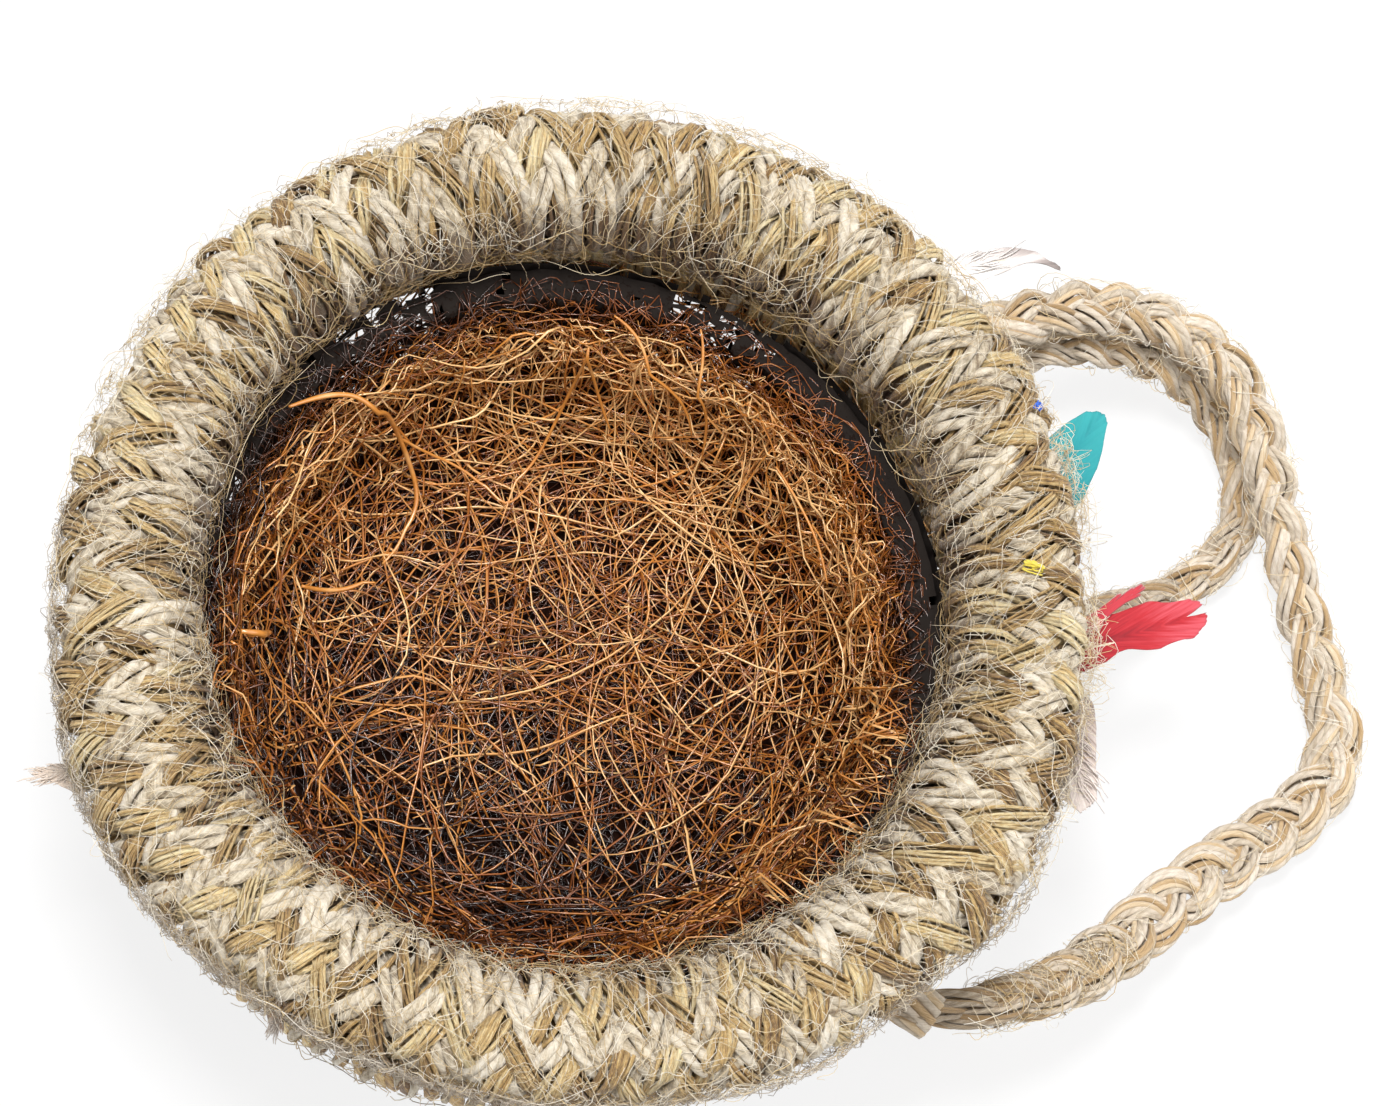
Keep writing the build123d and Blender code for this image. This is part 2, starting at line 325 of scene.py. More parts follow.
# %% Spun yarn material
def spun_yarn(name, twist, fineness, depth, ridges, lumps, stops, roughness, sheen, specular):
    """Fibres that run along a yarn, slanted by its twist, with ridges where it is plied."""
    material, tree, shader = new_material(name, roughness, sheen, specular)
    place = add_node(tree, "UVMap", {"uv_map": "along_and_round"})
    split = add_node(tree, "SeparateXYZ", _0=place[0])
    tint = add_node(tree, "Attribute", {"attribute_name": "tint"})
    turned = add_node(tree, "Math", {"operation": "MULTIPLY_ADD"}, _0=split["X"], _1=twist, _2=split["Y"])
    circle = add_node(tree, "Math", {"operation": "MULTIPLY"}, _0=turned[0], _1=math.tau)
    cosine = add_node(tree, "Math", {"operation": "COSINE"}, _0=circle[0])
    sine = add_node(tree, "Math", {"operation": "SINE"}, _0=circle[0])
    shifted = add_node(
        tree, "Math", {"operation": "MULTIPLY_ADD"}, _0=tint["Fac"], _1=57.0, _2=split["X"],
    )
    slow = add_node(tree, "Math", {"operation": "MULTIPLY"}, _0=shifted[0], _1=0.12)
    point = add_node(tree, "CombineXYZ", _0=cosine[0], _1=sine[0], _2=slow[0])
    fibres = add_node(tree, "TexNoise", Vector=point[0], Scale=fineness, Detail=4.0, Roughness=0.65)
    ridge = add_node(tree, "Math", {"operation": "ABSOLUTE"}, _0=cosine[0])
    height = add_node(
        tree, "Math", {"operation": "MULTIPLY_ADD"}, _0=ridge[0], _1=ridges, _2=fibres["Fac"],
    )
    where = add_node(tree, "TexCoord")
    woolly = add_node(tree, "TexNoise", Vector=where["Object"], Scale=1.6 / MM, Detail=3.0, Roughness=0.6)
    height = add_node(
        tree, "Math", {"operation": "MULTIPLY_ADD"}, _0=woolly["Fac"], _1=lumps, _2=height[0],
    )
    mottled = add_node(tree, "Math", {"operation": "MULTIPLY_ADD"}, _0=tint["Fac"], _1=0.45, _2=height[0])
    centred = add_node(
        tree, "Math", {"operation": "SUBTRACT"}, _0=mottled[0], _1=0.22 + 0.64 * ridges + 0.5 * lumps,
    )
    color = add_node(tree, "ValToRGB", stops=stops, _0=centred[0])
    tree.links.new(color[0], shader.inputs["Base Color"])
    bump = add_node(tree, "Bump", Strength=depth, Distance=0.35 * MM, Height=height[0])
    tree.links.new(bump[0], shader.inputs["Normal"])
    return material

# %% Spin the yarns and mix the loose fibre
# Single jute: about one turn in 12 mm, fibres 0.1 mm wide.
jute = spun_yarn(
    "spun_jute", 1 / 12, 4.0, 1.0, 0.0, 0.3,
    ((0.3, "#6E4D24"), (0.43, "#BC9455"), (0.54, "#DFBB79"), (0.7, "#FBE9B8")), 0.45, 0.2, 0.5,
)
# Plied cotton: a turn in 7 mm, much finer fibre, nearly white where it is clean.
cotton = spun_yarn(
    "plied_cotton", 1 / 7, 3.0, 1.0, 0.3, 0.7,
    ((0.12, "#82705A"), (0.34, "#BAAB92"), (0.54, "#D8CBB4"), (0.85, "#F0E7D6")), 0.85, 0.3, 0.2,
)
# The plaits are a paler, cleaner lot of the same two yarns.
plait_jute = spun_yarn(
    "pale_jute", 1 / 12, 4.0, 0.7, 0.0, 0.2,
    ((0.12, "#957850"), (0.36, "#BF9F72"), (0.55, "#D2B790"), (0.78, "#E6D3B4")), 0.5, 0.3, 0.4,
)
plait_cotton = spun_yarn(
    "pale_cotton", 1 / 5, 3.0, 0.7, 0.25, 0.4,
    ((0.0, "#9C8A73"), (0.3, "#C7B8A2"), (0.56, "#DACCB9"), (0.85, "#ECE2D3")), 0.85, 0.3, 0.2,
)
# Loose fibre of both, two to thirty millimetres long, so thin that it looks pale in the light.
loose_fibre, tree, shader = new_material("loose_bast_and_cotton_fibre", 0.5, 0.2, 0.4)
tint = add_node(tree, "Attribute", {"attribute_name": "tint"})
stops = (0.0, "#5E4930"), (0.2, "#A98A55"), (0.4, "#D9BE8C"), (0.65, "#E9DCC2"), (1.0, "#F2EBDD")
color = add_node(tree, "ValToRGB", stops=stops, _0=tint["Fac"])
tree.links.new(color[0], shader.inputs["Base Color"])
# On the rim's outer side, to the left and near, the loose fibre is matted and greyer.
matted_fibre, tree, shader = new_material("matted_grey_fibre", 0.8, 0.3, 0.1)
tint = add_node(tree, "Attribute", {"attribute_name": "tint"})
stops = (0.0, "#6E6154"), (0.45, "#AFA08C"), (1.0, "#D9CEC0")
color = add_node(tree, "ValToRGB", stops=stops, _0=tint["Fac"])
tree.links.new(color[0], shader.inputs["Base Color"])
print("materials:", jute.name, cotton.name, loose_fibre.name, matted_fibre.name)

# %% [markdown]
# ## Loose lines
# Coir, stray hairs and the fuzz on the yarn are all short lines that wander over a
# surface. Blender's own hair could draw them, but the finished basket has to be plain
# mesh. So each one starts as a curved line on a flat sheet, with a height above it, and
# every piece of the basket has its own way to wrap that sheet.

# %% Lines that wander on a flat sheet
def curls(rng, count, points, lengths, bend, wave, spread=math.tau):
    """Curved lines about their own middles, in millimetres, and the share along them."""
    length = rng.uniform(*lengths, count)[:, None]
    share = np.linspace(0, 1, points)[None]
    turn = rng.normal(0, bend, (count, 1)) * share * length
    swing = share * rng.uniform(0.5, 1.6, (count, 1)) + rng.random((count, 1))
    turn = turn + wave * rng.normal(size=(count, 1)) * np.sin(math.tau * swing)
    direction = math.pi / 2 + spread * (rng.random((count, 1)) - 0.5) + turn
    steps = np.stack([np.cos(direction), np.sin(direction)], -1)
    lines = np.cumsum(steps * (length / (points - 1))[..., None], 1)
    return lines - lines[:, points // 2:points // 2 + 1], share


def uneven(rng, count, share, waves):
    """A smooth random height along each line, about one millimetre up and down."""
    height = np.zeros((count, share.shape[-1]))
    for wave in range(1, waves + 1):
        swing = math.tau * (0.5 * wave * share + rng.random((count, 1)))
        height = height + rng.normal(size=(count, 1)) * np.sin(swing) / wave ** 0.6
    return height

# %% [markdown]
# ## The hanger: two slack plaits
# Each plait has three strands, and each strand is eleven thin yarns, six of cotton and
# five of loose jute. It is limp, but it keeps the bends that it was packed with. Its line
# is one smooth NURBS curve through listed points: out of its binding at the rim, down
# to the table, and along it. Copies of one crossing along the line would all look alike,
# so the strands weave about it by a formula with some disorder. Where the long plait
# climbs back to the rim it lies flat, and elsewhere it is nearly round.

# %% A smooth line through a plait's points
MAIN_ROUTE = [
    (0.0599, 0.0472, 0.0346), (0.0678, 0.0511, 0.0336), (0.0766, 0.0547, 0.0308),
    (0.0859, 0.0561, 0.0270), (0.0953, 0.0551, 0.0228), (0.1033, 0.0508, 0.0188),
    (0.1085, 0.0430, 0.0156), (0.1114, 0.0335, 0.0128), (0.1144, 0.0237, 0.0090),
    (0.1174, 0.0133, 0.0059), (0.1205, 0.0032, 0.0044), (0.1228, -0.0058, 0.0043),
    (0.1198, -0.0144, 0.0044), (0.1114, -0.0214, 0.0054), (0.1014, -0.0279, 0.0082),
    (0.0918, -0.0358, 0.0128), (0.0824, -0.0442, 0.0190), (0.0730, -0.0506, 0.0258),
    (0.0644, -0.0540, 0.0313), (0.0571, -0.0555, 0.0340),
]
SIDE_ROUTE = [
    (0.0604, 0.0440, 0.0271), (0.0694, 0.0490, 0.0254), (0.0781, 0.0515, 0.0226),
    (0.0868, 0.0526, 0.0184), (0.0947, 0.0517, 0.0140), (0.1013, 0.0485, 0.0098),
    (0.1063, 0.0429, 0.0062), (0.1089, 0.0354, 0.0040), (0.1082, 0.0279, 0.0036),
    (0.1044, 0.0226, 0.0036), (0.0992, 0.0181, 0.0052), (0.0932, 0.0139, 0.0096),
    (0.0868, 0.0109, 0.0156), (0.0824, 0.0076, 0.0220), (0.0765, 0.0051, 0.0295),
]


def evenly(line, step):
    """A line's points again, evenly spaced by about one step, and its length."""
    run = np.concatenate([[0], np.cumsum(np.linalg.norm(np.diff(line, axis=0), axis=1))])
    even = np.linspace(0, run[-1], int(run[-1] / step) + 1)
    return np.stack([np.interp(even, run, line[:, axis]) for axis in range(3)], 1), run[-1]


def smooth_line(name, route, step):
    """Points of a NURBS curve through a route's control points, evenly spaced, in mm."""
    curve = bpy.data.curves.new(name, "CURVE")
    curve.dimensions = "3D"
    spline = curve.splines.new("NURBS")
    spline.points.add(len(route) - 1)
    for point, place in zip(spline.points, route):
        point.co = (*place, 1)
    spline.order_u = 3
    spline.use_endpoint_u = True
    spline.resolution_u = 24
    carrier = bpy.data.objects.new(name, curve)
    bpy.context.collection.objects.link(carrier)
    mesh = bpy.data.meshes.new_from_object(carrier)
    line = np.array([vertex.co for vertex in mesh.vertices]) / MM
    bpy.data.objects.remove(carrier)
    bpy.data.meshes.remove(mesh)
    return evenly(line, step)


PLAIT_STEP = 0.9
main_line, main_length = smooth_line("main_line", MAIN_ROUTE, PLAIT_STEP)
side_line, side_length = smooth_line("side_line", SIDE_ROUTE, PLAIT_STEP)
print("plaits", round(main_length, 1), round(side_length, 1), "mm")

# %% Strands of yarns that weave about a line
LOBE_PITCH = 8.0
YARNS = 11


def level_frame(line):
    """Sideways and upward directions along a line, sideways kept level."""
    along = unit(np.gradient(line, axis=0))
    upward = unit(np.array([0.0, 0.0, 1.0]) - along * along[:, 2:3])
    return np.cross(upward, along), upward


def plaited(name, line, length, half_width, half_height, yarn_radius, flatness, end_size, seed):
    """Three strands of thin yarns that weave about a line."""
    rng = np.random.default_rng(seed)
    distance = np.linspace(0, length, len(line))
    level, upward = level_frame(line)
    share = np.interp(distance / length, *flatness)
    wide = (half_width - 2.1) * (0.55 + 0.45 * share)
    thick = yarn_radius * np.interp(length - distance, [14, 60], [end_size, 1.0])
    high = half_height * (1.3 - 0.4 * share)
    paths, tints, slots, sizes = [], [], [], []
    end_share = np.clip(1 - (length - distance) / 58, 0, 1)
    # The yarns near both ends of a plait, where it lies by the rim, are painted darker as shade.
    painted_end_shade = 1.1 * end_share + 0.35 * np.clip(1 - distance / 60, 0, 1)
    woven = distance - 20 * end_share ** 2
    for strand in range(3):
        phase = math.tau * (woven / (3 * LOBE_PITCH) + strand / 3)
        phase = phase + 0.25 * np.sin(distance / 9.0 + seed + strand)
        centre = line + level * (wide * np.sin(phase))[:, None]
        centre = centre + upward * (high * np.sin(2 * phase))[:, None]
        strand_along = unit(np.gradient(centre, axis=0))
        strand_up = unit(upward - strand_along * np.sum(upward * strand_along, 1)[:, None])
        strand_side = np.cross(strand_up, strand_along)
        for yarn in range(YARNS):
            roll = math.tau * (yarn / YARNS + distance / 34.0) + strand
            roll = roll + 0.25 * np.sin(distance / 5.0 + 7 * rng.random())
            loose = 1 + 0.16 * np.sin(distance / rng.uniform(2, 5) + 7 * rng.random())
            offset = strand_side * (thick * 3.2 * loose * np.cos(roll))[:, None]
            offset = offset + strand_up * (thick * 1.9 * loose * np.sin(roll))[:, None]
            paths.append(centre + offset)
            tints.append(rng.random() - painted_end_shade)
            slots.append(1 if yarn % 4 < 2 else 0)
            sizes.append(1.12 if yarn % 4 < 2 else 0.95)
    paths = np.array(paths)
    paths[..., 2] = np.maximum(paths[..., 2], yarn_radius + 0.15)
    swell = thick * np.array(sizes)[:, None] * (
        1 + 0.06 * np.sin(distance / 3.1)[None] * rng.random((len(sizes), 1))
    )
    return tubes(name, paths, swell, 6, np.array(tints), slots=np.array(slots))


def tucked(line, *beyond):
    """A plait's line, run on to points beyond its last one that are hidden by the rim."""
    return evenly(np.concatenate([line, np.array(beyond, float)]), PLAIT_STEP)

# %% Weave both plaits
main_flatness = ([0, 0.45, 0.6, 0.8, 0.92], [0.3, 0.0, 0.9, 0.8, -0.2])
main_run = tucked(main_line, (52, -56.2, 35.8), (47.5, -54.5, 37.2), (43, -51, 38))
main_plait = plaited("hanger_long_plait", *main_run, 5.5, 1.2, 0.5, main_flatness, 0.68, 3)
dress(main_plait, "plait", plait_jute, plait_cotton)
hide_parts("hanger_main_plait")
side_flatness = ([0, 1], [0.1, 0.1])
side_run = tucked(side_line, (73, 3.4, 33.0))
side_plait = plaited("hanger_short_plait", *side_run, 4.7, 0.95, 0.45, side_flatness, 1.0, 8)
dress(side_plait, "plait", plait_jute, plait_cotton)
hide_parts("hanger_side_plait")

# %% Loose fibre on the plaits
def plait_fuzz(name, line, count, lengths, half_width, half_height, tones, seed):
    """Loose fibres that wander round a plait and stand off it."""
    rng = np.random.default_rng(seed)
    flat, share = curls(rng, count, 9, lengths, 0.1, 0.4)
    level, upward = level_frame(line)
    step = np.linalg.norm(line[1] - line[0])
    place = rng.uniform(3, len(line) - 4, (count, 1)) + flat[..., 0] / step
    place = np.clip(place, 0, len(line) - 1)
    whole = np.arange(len(line))
    pick = lambda rows: np.stack([np.interp(place, whole, rows[:, a]) for a in range(3)], -1)
    around = math.tau * rng.random((count, 1)) + flat[..., 1] / (half_width * 0.8)
    off = 0.05 + np.abs(uneven(rng, count, share, 2)) * rng.uniform(0.1, 0.8, (count, 1))
    paths = pick(line) + pick(level) * ((half_width + off) * np.cos(around))[..., None]
    paths = paths + pick(upward) * ((half_height + off) * np.sin(around))[..., None]
    paths[..., 2] = np.maximum(paths[..., 2], 0.15)
    size = rng.uniform(0.04, 0.075, (count, 1))
    piece = tubes(name, paths, size, 3, rng.uniform(*tones, count))
    dress(piece, "plait", loose_fibre)


plait_fuzz("hanger_long_fuzz", main_line, 560, (3, 11), 4.2, 2.5, (0.4, 1.0), 51)
plait_fuzz("hanger_short_fuzz", side_line, 240, (3, 9), 3.3, 2.1, (0.4, 1.0), 52)
# The fuzz on the long plait's end has darker tones: painted shade by the rim, as on the plait's end.
plait_fuzz("hanger_end_fuzz", main_line[-44:-4], 240, (4, 15), 3.3, 2.3, (0.1, 0.8), 53)

# %% [markdown]
# ## Bound ends of the plaits
# Each plait ends under the rim in a whipping: a yarn wound tightly round it a few times,
# so that it cannot come apart, and stitched to the collar. A short sleeve would hide the
# end as well, but the separate turns show, so they are one coil of real yarn.

# %% Whippings
def whipping(name, node, end, beyond, radius, seed):
    """Turns of yarn side by side round the end of a plait."""
    rng = np.random.default_rng(seed)
    end, beyond = np.array(end) / MM, np.array(beyond) / MM
    inward = unit(end - beyond)
    across = unit(np.cross(inward, [0, 0, 1.0]))
    other = np.cross(inward, across)
    turns = 4
    angle = np.linspace(0, math.tau * turns, 24 * turns)
    step = np.linspace(3.6, 7.6, len(angle))
    bulge = radius - 1.1 - 0.5 * (np.linspace(-1, 1, len(angle)) ** 2)
    path = end + inward * step[:, None] + across * (bulge * np.cos(angle))[:, None]
    path = path + other * (bulge * np.sin(angle))[:, None]
    turns_piece = tubes(name, path[None], 0.8, 8, rng.random(1))
    dress(turns_piece, "jute", jute)
    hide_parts(node)
    reach = np.linspace(-2.0, 7.6, 12)
    paths = []
    for yarn in range(14):
        roll = math.tau * yarn / 14
        spread = (radius - 1.7) * np.interp(reach, [-2, 2, 6, 7.6], [0.95, 1, 0.9, 0.3])
        line = end + inward * reach[:, None]
        line = line + across * (spread * np.cos(roll + reach / 14))[:, None]
        paths.append(line + other * (0.8 * spread * np.sin(roll + reach / 14))[:, None])
    slots = np.arange(14) % 2
    filling = tubes(name + "_yarns", np.array(paths), 0.75, 6, rng.random(14), slots=slots)
    dress(filling, "plait", plait_jute, plait_cotton)
    print(name, "box", *[corner.round(1) for corner in node_box(node)])
    return [turns_piece, filling]

# %% Wind the four ends
main_ends = whipping("bound_end_1", "whipping_main_back", MAIN_ROUTE[0], MAIN_ROUTE[1], 4.8, 1)
main_ends += whipping(
    "bound_end_2", "whipping_main_front", (0.052, -0.0562, 0.0358), (0.061, -0.0614, 0.0336), 4.8, 2
)
side_ends = whipping("bound_end_3", "whipping_side_back", SIDE_ROUTE[0], SIDE_ROUTE[1], 4.0, 3)
side_ends += whipping("bound_end_4", "whipping_side_front", SIDE_ROUTE[-1], SIDE_ROUTE[-2], 4.0, 4)

print("cords of", round(main_run[1], 1), "and", round(side_run[1], 1), "mm")

# %% [markdown]
# ## The rim lashing
# The rim is bound like a braid. Bundles of jute and pairs of cotton yarn go round the roll
# and lean one way over its face, and as many lean back the other way. Where two cross, one
# goes over and the other under, and which one it is changes along and across the rim. A
# bump pattern could hint at this, but the crossings stand out against the light. So every
# turn is a closed path of its own, and a smooth wave says where it is on top.

# %% The roll's section and a turn round it
ROLL_LONG = 12.1
ROLL_SHORT = 8.6
SECTION_REACH = 10.5
ROLL_LEAN = math.radians(45)
FACE = math.radians(80)
RIM_TURNS = 62
SWAY = 4.6
PATCHES = 52
RIM_RING = ((0.0, 0.0), rim_radius, rim_height)
COLLAR_RING = (collar_centre, collar_radius, collar_centre[2])
# The roll was packed by hand: bearing in degrees, extra thickness and spread of each bulge.
BULGES = ((208, 2.9, 20), (325, 3.0, 9), (295, 1.9, 9), (122, -1.2, 22))


def bulge(angle, around):
    """Extra thickness of the roll's outer side, in millimetres."""
    extra = 0.0
    for bearing, height, spread in BULGES:
        apart = (np.degrees(angle) - bearing + 180) % 360 - 180
        extra = extra + height * np.exp(-((apart / spread) ** 2))
    return extra * np.clip(np.cos(around + 0.2), 0, 1)

# %% Places on the roll's surface
def oval(around, inset):
    """Outward and upward offset of the roll's oval section at angles from outward."""
    swing = around - ROLL_LEAN
    long_part = (ROLL_LONG - inset) * np.cos(swing)
    short_part = (ROLL_SHORT - inset) * np.sin(swing)
    outward = long_part * math.cos(ROLL_LEAN) - short_part * math.sin(ROLL_LEAN)
    upward = long_part * math.sin(ROLL_LEAN) + short_part * math.cos(ROLL_LEAN)
    return outward, upward


def ring_point(centre, radius, height, angle, outward, upward, sideways):
    """A point by its place round a ring and its offsets from the centre line."""
    reach = radius + outward
    turned = angle + sideways / reach
    return np.stack(
        [
            centre[0] + reach * np.cos(turned), centre[1] + reach * np.sin(turned),
            height + upward + 0 * turned,
        ],
        -1,
    )

# %% A family of bundles round the roll
def braid(name, family, kind, strands, strand_radius, spread, pitch, sides, seed):
    """Bundles of one family, +1 or -1 by their lean, and of every second place."""
    rng = np.random.default_rng(seed)
    around = np.radians(
        np.concatenate(
            [np.linspace(-60, 195, 31, endpoint=False), np.linspace(195, 300, 5, endpoint=False)]
        )
    )[None]
    place = (2 * np.arange(RIM_TURNS) + (kind if family == 1 else 1 - kind))[:, None]
    angle = math.tau * (place + 0.11 * rng.normal(size=place.shape)) / (2 * RIM_TURNS)
    sway = SWAY * (1 + 0.08 * rng.normal(size=place.shape))
    across = sway * np.sin(around - FACE)
    here = angle + family * across / rim_radius
    patch = np.sin(PATCHES * here + 1.6 * np.sin(5 * here) + 0.16 * across)
    over = family * np.tanh(2.2 * patch)
    swell = 0.25 * rng.normal(size=place.shape)
    crest = (0.55 if strands > 2 else -0.45) * np.clip(np.cos(around - 0.1), 0, 1)
    centre_lift = 1.15 * over * (1 - 0.4 * np.clip(np.cos(around), 0, 1)) + swell + crest
    paths, tints = [], []
    shade = rng.random(RIM_TURNS)
    # The inner flank and underside of every bundle are painted darker as shade, more so on the far side.
    painted_flank_shade = (0.7 + 0.3 * np.sin(angle)) * np.clip(np.sin(around - math.radians(138)) * 2.2, 0, 1)
    for strand in range(strands):
        roll = math.tau * (strand / strands + SECTION_REACH * around / pitch / math.tau)
        roll = roll + 7 * rng.random(place.shape)[:1]
        if strands == 2:
            roll = math.pi * strand + 0.5 * np.sin(around + place)
        side = spread * (1 + 0.28 * over) * np.cos(roll)
        lift = 0.62 * spread * (1 + 0.25 * over) * np.sin(roll)
        side = side + 0.18 * np.sin(5 * around + 9 * rng.random(place.shape))
        lift = lift + 0.15 * np.sin(4 * around + 9 * rng.random(place.shape))
        outward, upward = oval(around, 2.5 - centre_lift - lift)
        outward = outward + bulge(here, around)
        paths.append(ring_point(*RIM_RING, here, outward, upward, side))
        tints.append((0.6 * shade + 0.4 * rng.random(RIM_TURNS))[:, None] - painted_flank_shade)
    size = strand_radius * (1 + 0.08 * rng.normal(size=(strands * RIM_TURNS, 1)))
    return tubes(name, np.concatenate(paths), size, sides, np.concatenate(tints), closed=True)

# %% Lay both families of both yarns
for family, word in ((1, "right"), (-1, "left")):
    jute_bundles = braid("rim_jute_leaning_" + word, family, 1, 12, 0.38, 1.4, 15.0, 3, 11 + family)
    dress(jute_bundles, "jute", jute)
    cotton_pairs = braid("rim_cotton_leaning_" + word, family, 0, 2, 0.86, 0.78, 13.0, 8, 15 + family)
    dress(cotton_pairs, "cotton", cotton)
    if family == 1:
        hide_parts("rim_jute_lashing")
        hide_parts("rim_cotton_lashing")

# %% [markdown]
# ## Fuzz on the rim
# Jute sheds, and the rim is furred all over with loose fibre: a matted layer down its
# outer side, curls across the stitches, and a few long hairs that hang into the mouth. A
# rougher material would leave the rim's edge clean, so the fibres are real geometry.

# %% Scatter fuzz over a part of the rim
def rim_fuzz(
    name, count, lengths, section, bearing, lifts, tones, radius, seed, points=8, spread=math.tau,
    fibre=loose_fibre,
):
    """Loose fibres on a part of the rim, given in degrees round its section and round it."""
    rng = np.random.default_rng(seed)
    flat, share = curls(rng, count, points, lengths, 0.08, 0.75, spread)
    around = np.radians(rng.uniform(*section, (count, 1))) + flat[..., 1] / SECTION_REACH
    middle, half = (lifts[0] + lifts[1]) / 2, (lifts[1] - lifts[0]) / 2
    lift = middle + 0.6 * half * uneven(rng, count, share, 3)
    outward, upward = oval(around, -np.clip(lift, lifts[0], lifts[1] + half))
    angle = np.radians(rng.uniform(*bearing, (count, 1)))
    outward = outward + bulge(angle, around)
    paths = ring_point(*RIM_RING, angle, outward, upward, flat[..., 0])
    size = radius * rng.uniform(0.6, 1, (count, 1)) * np.interp(share, [0, 0.5, 1], [0.7, 1, 0.5])
    piece = tubes(name, paths, size, 3, rng.uniform(*tones, count))
    dress(piece, "jute", fibre)

# %% Fur the rim
WHOLE, NEAR, PAINTED_SHADE_TONES, PALE, ANY = (0, 360), (185, 355), (0.0, 0.3), (0.35, 1.0), (0.15, 1.0)
rim_fuzz("rim_face_fuzz", 4500, (2, 9), (0, 170), WHOLE, (-0.6, 0.7), ANY, 0.07, 61, 7, 1.5)
rim_fuzz("rim_matted_fuzz", 2000, (2, 9), (-75, -2), WHOLE, (-0.7, 0.4), (0.3, 0.8), 0.065, 62)
rim_fuzz(
    "rim_outer_mat", 2700, (2, 7), (-85, 24), (172, 268), (-0.5, 1.0), (0.2, 1.0), 0.08, 77, 7,
    fibre=matted_fibre,
)
rim_fuzz(
    "rim_near_mat", 1200, (2, 7), (-80, 8), (268, 345), (-0.5, 0.9), (0.2, 1.0), 0.08, 78, 7,
    fibre=matted_fibre,
)
# Fuzz on the inner flank takes dark tones only: painted shade under the roll.
rim_fuzz("rim_inner_fuzz", 1200, (3, 12), (160, 235), WHOLE, (-0.8, 0.8), PAINTED_SHADE_TONES, 0.07, 67)
rim_fuzz("rim_inner_fringe", 240, (3, 8), (150, 200), NEAR, (-0.4, 1.3), (0.3, 0.9), 0.05, 68)
rim_fuzz("rim_long_hairs", 150, (10, 28), (110, 200), WHOLE, (-0.3, 4.0), (0.1, 0.6), 0.065, 63, 16)
rim_fuzz("rim_face_curls", 600, (4, 18), (12, 150), WHOLE, (-0.2, 2.0), PALE, 0.07, 69, 12)
rim_fuzz("red_root_fuzz", 110, (3, 9), (-60, 0), (-9, 1), (-1.0, 3.6), PALE, 0.07, 65)
rim_fuzz("pale_root_fuzz", 170, (3, 9), (-60, 5), (-28, -7), (-0.6, 3.2), PALE, 0.065, 70)
rim_fuzz("teal_root_fuzz", 100, (3, 9), (-50, 0), (9, 21), (-1.0, 3.4), PALE, 0.07, 66)

# %% [markdown]
# ## Cores of the rim and the collar
# Between the stitches the packed fibre of the roll shows as a dark, matt felt. A swept
# curve would do for it. A torus is used instead, because its points can be squeezed into
# the leaning oval and bulged with the lashing in one pass, a little inside it.

# %% Felted cores
# Pressed bast fibre has no sheen of its own, and its lumps are about a millimetre wide.
felt, tree, shader = new_material("pressed_fibre_felt", 0.95, 0.2, 0.1)
where = add_node(tree, "TexCoord")
strands = add_node(tree, "TexNoise", Vector=where["Object"], Scale=0.9 / MM, Detail=5.0, Roughness=0.7)
stops = (0.3, "#3D2D1C"), (0.7, "#836943")
color = add_node(tree, "ValToRGB", stops=stops, _0=strands["Fac"])
tree.links.new(color[0], shader.inputs["Base Color"])
bump = add_node(tree, "Bump", Strength=1.0, Distance=0.5 * MM, Height=strands["Fac"])
tree.links.new(bump[0], shader.inputs["Normal"])


def felt_ring(name, centre, radius, height, long_half, short_half, lean, node):
    """A torus pressed to an oval section that leans."""
    bpy.ops.object.select_all(action="DESELECT")
    bpy.ops.mesh.primitive_torus_add(
        major_radius=radius * MM, minor_radius=long_half * MM, major_segments=160, minor_segments=28,
        location=(0, 0, 0),
    )
    ring = bpy.context.object
    ring.name = name
    bpy.ops.object.shade_smooth()
    for vertex in ring.data.vertices:
        angle = math.atan2(vertex.co.y, vertex.co.x)
        outward = math.hypot(vertex.co.x, vertex.co.y) / MM - radius
        upward = vertex.co.z / MM
        swing = math.atan2(upward, outward) - lean
        across = short_half * math.sin(swing)
        along = long_half * math.cos(swing)
        outward = along * math.cos(lean) - across * math.sin(lean)
        upward = along * math.sin(lean) + across * math.cos(lean)
        if node == "rim_core":
            outward += 0.8 * bulge(angle, swing + lean)
        reach = radius + outward
        vertex.co = Vector(
            (centre[0] + reach * math.cos(angle), centre[1] + reach * math.sin(angle), height + upward)
        ) * MM
    dress(ring, "coir_felt", felt)
    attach(ring, "root")
    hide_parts(node)
    print(name, "vertices", len(ring.data.vertices))


felt_ring("rim_felt_core", *RIM_RING, 8.8, 5.3, ROLL_LEAN, "rim_core")
felt_ring("collar_felt_core", *COLLAR_RING, collar_core_radius, collar_core_radius, 0.0, "collar_core")

# %% [markdown]
# ## The bound collar
# A thinner ring hangs under the rim and a little off its centre. Jute yarn binds it, turn
# beside turn, so close that hardly any core shows, and thinner cotton turns lean across
# the jute. One long coil would be closer to the hand that wound it, but closed turns look
# the same, and each can sit a little crooked.

# %% Turns of yarn round a ring
def bind_ring(name, centre, radius, height, tube_radius, turns, yarn_radius, lean, seed):
    """Close turns of yarn round a ring."""
    rng = np.random.default_rng(seed)
    around = np.linspace(0, math.tau, 26, endpoint=False)[None]
    number = np.arange(turns)[:, None]
    angle = math.tau * (number + 0.15 * rng.normal(size=(turns, 1))) / turns
    reach = tube_radius - yarn_radius + 0.2 * rng.normal(size=(turns, 1))
    outward = reach * np.cos(around)
    upward = reach * np.sin(around)
    sideways = lean * np.cos(around + 0.3) + 0.2 * np.sin(2 * around + number)
    paths = ring_point(centre, radius, height, angle, outward, upward, sideways)
    size = yarn_radius * (1 + 0.08 * rng.normal(size=(turns, 1)))
    return tubes(name, paths, size, 6, 0.8 * rng.random(turns), closed=True)

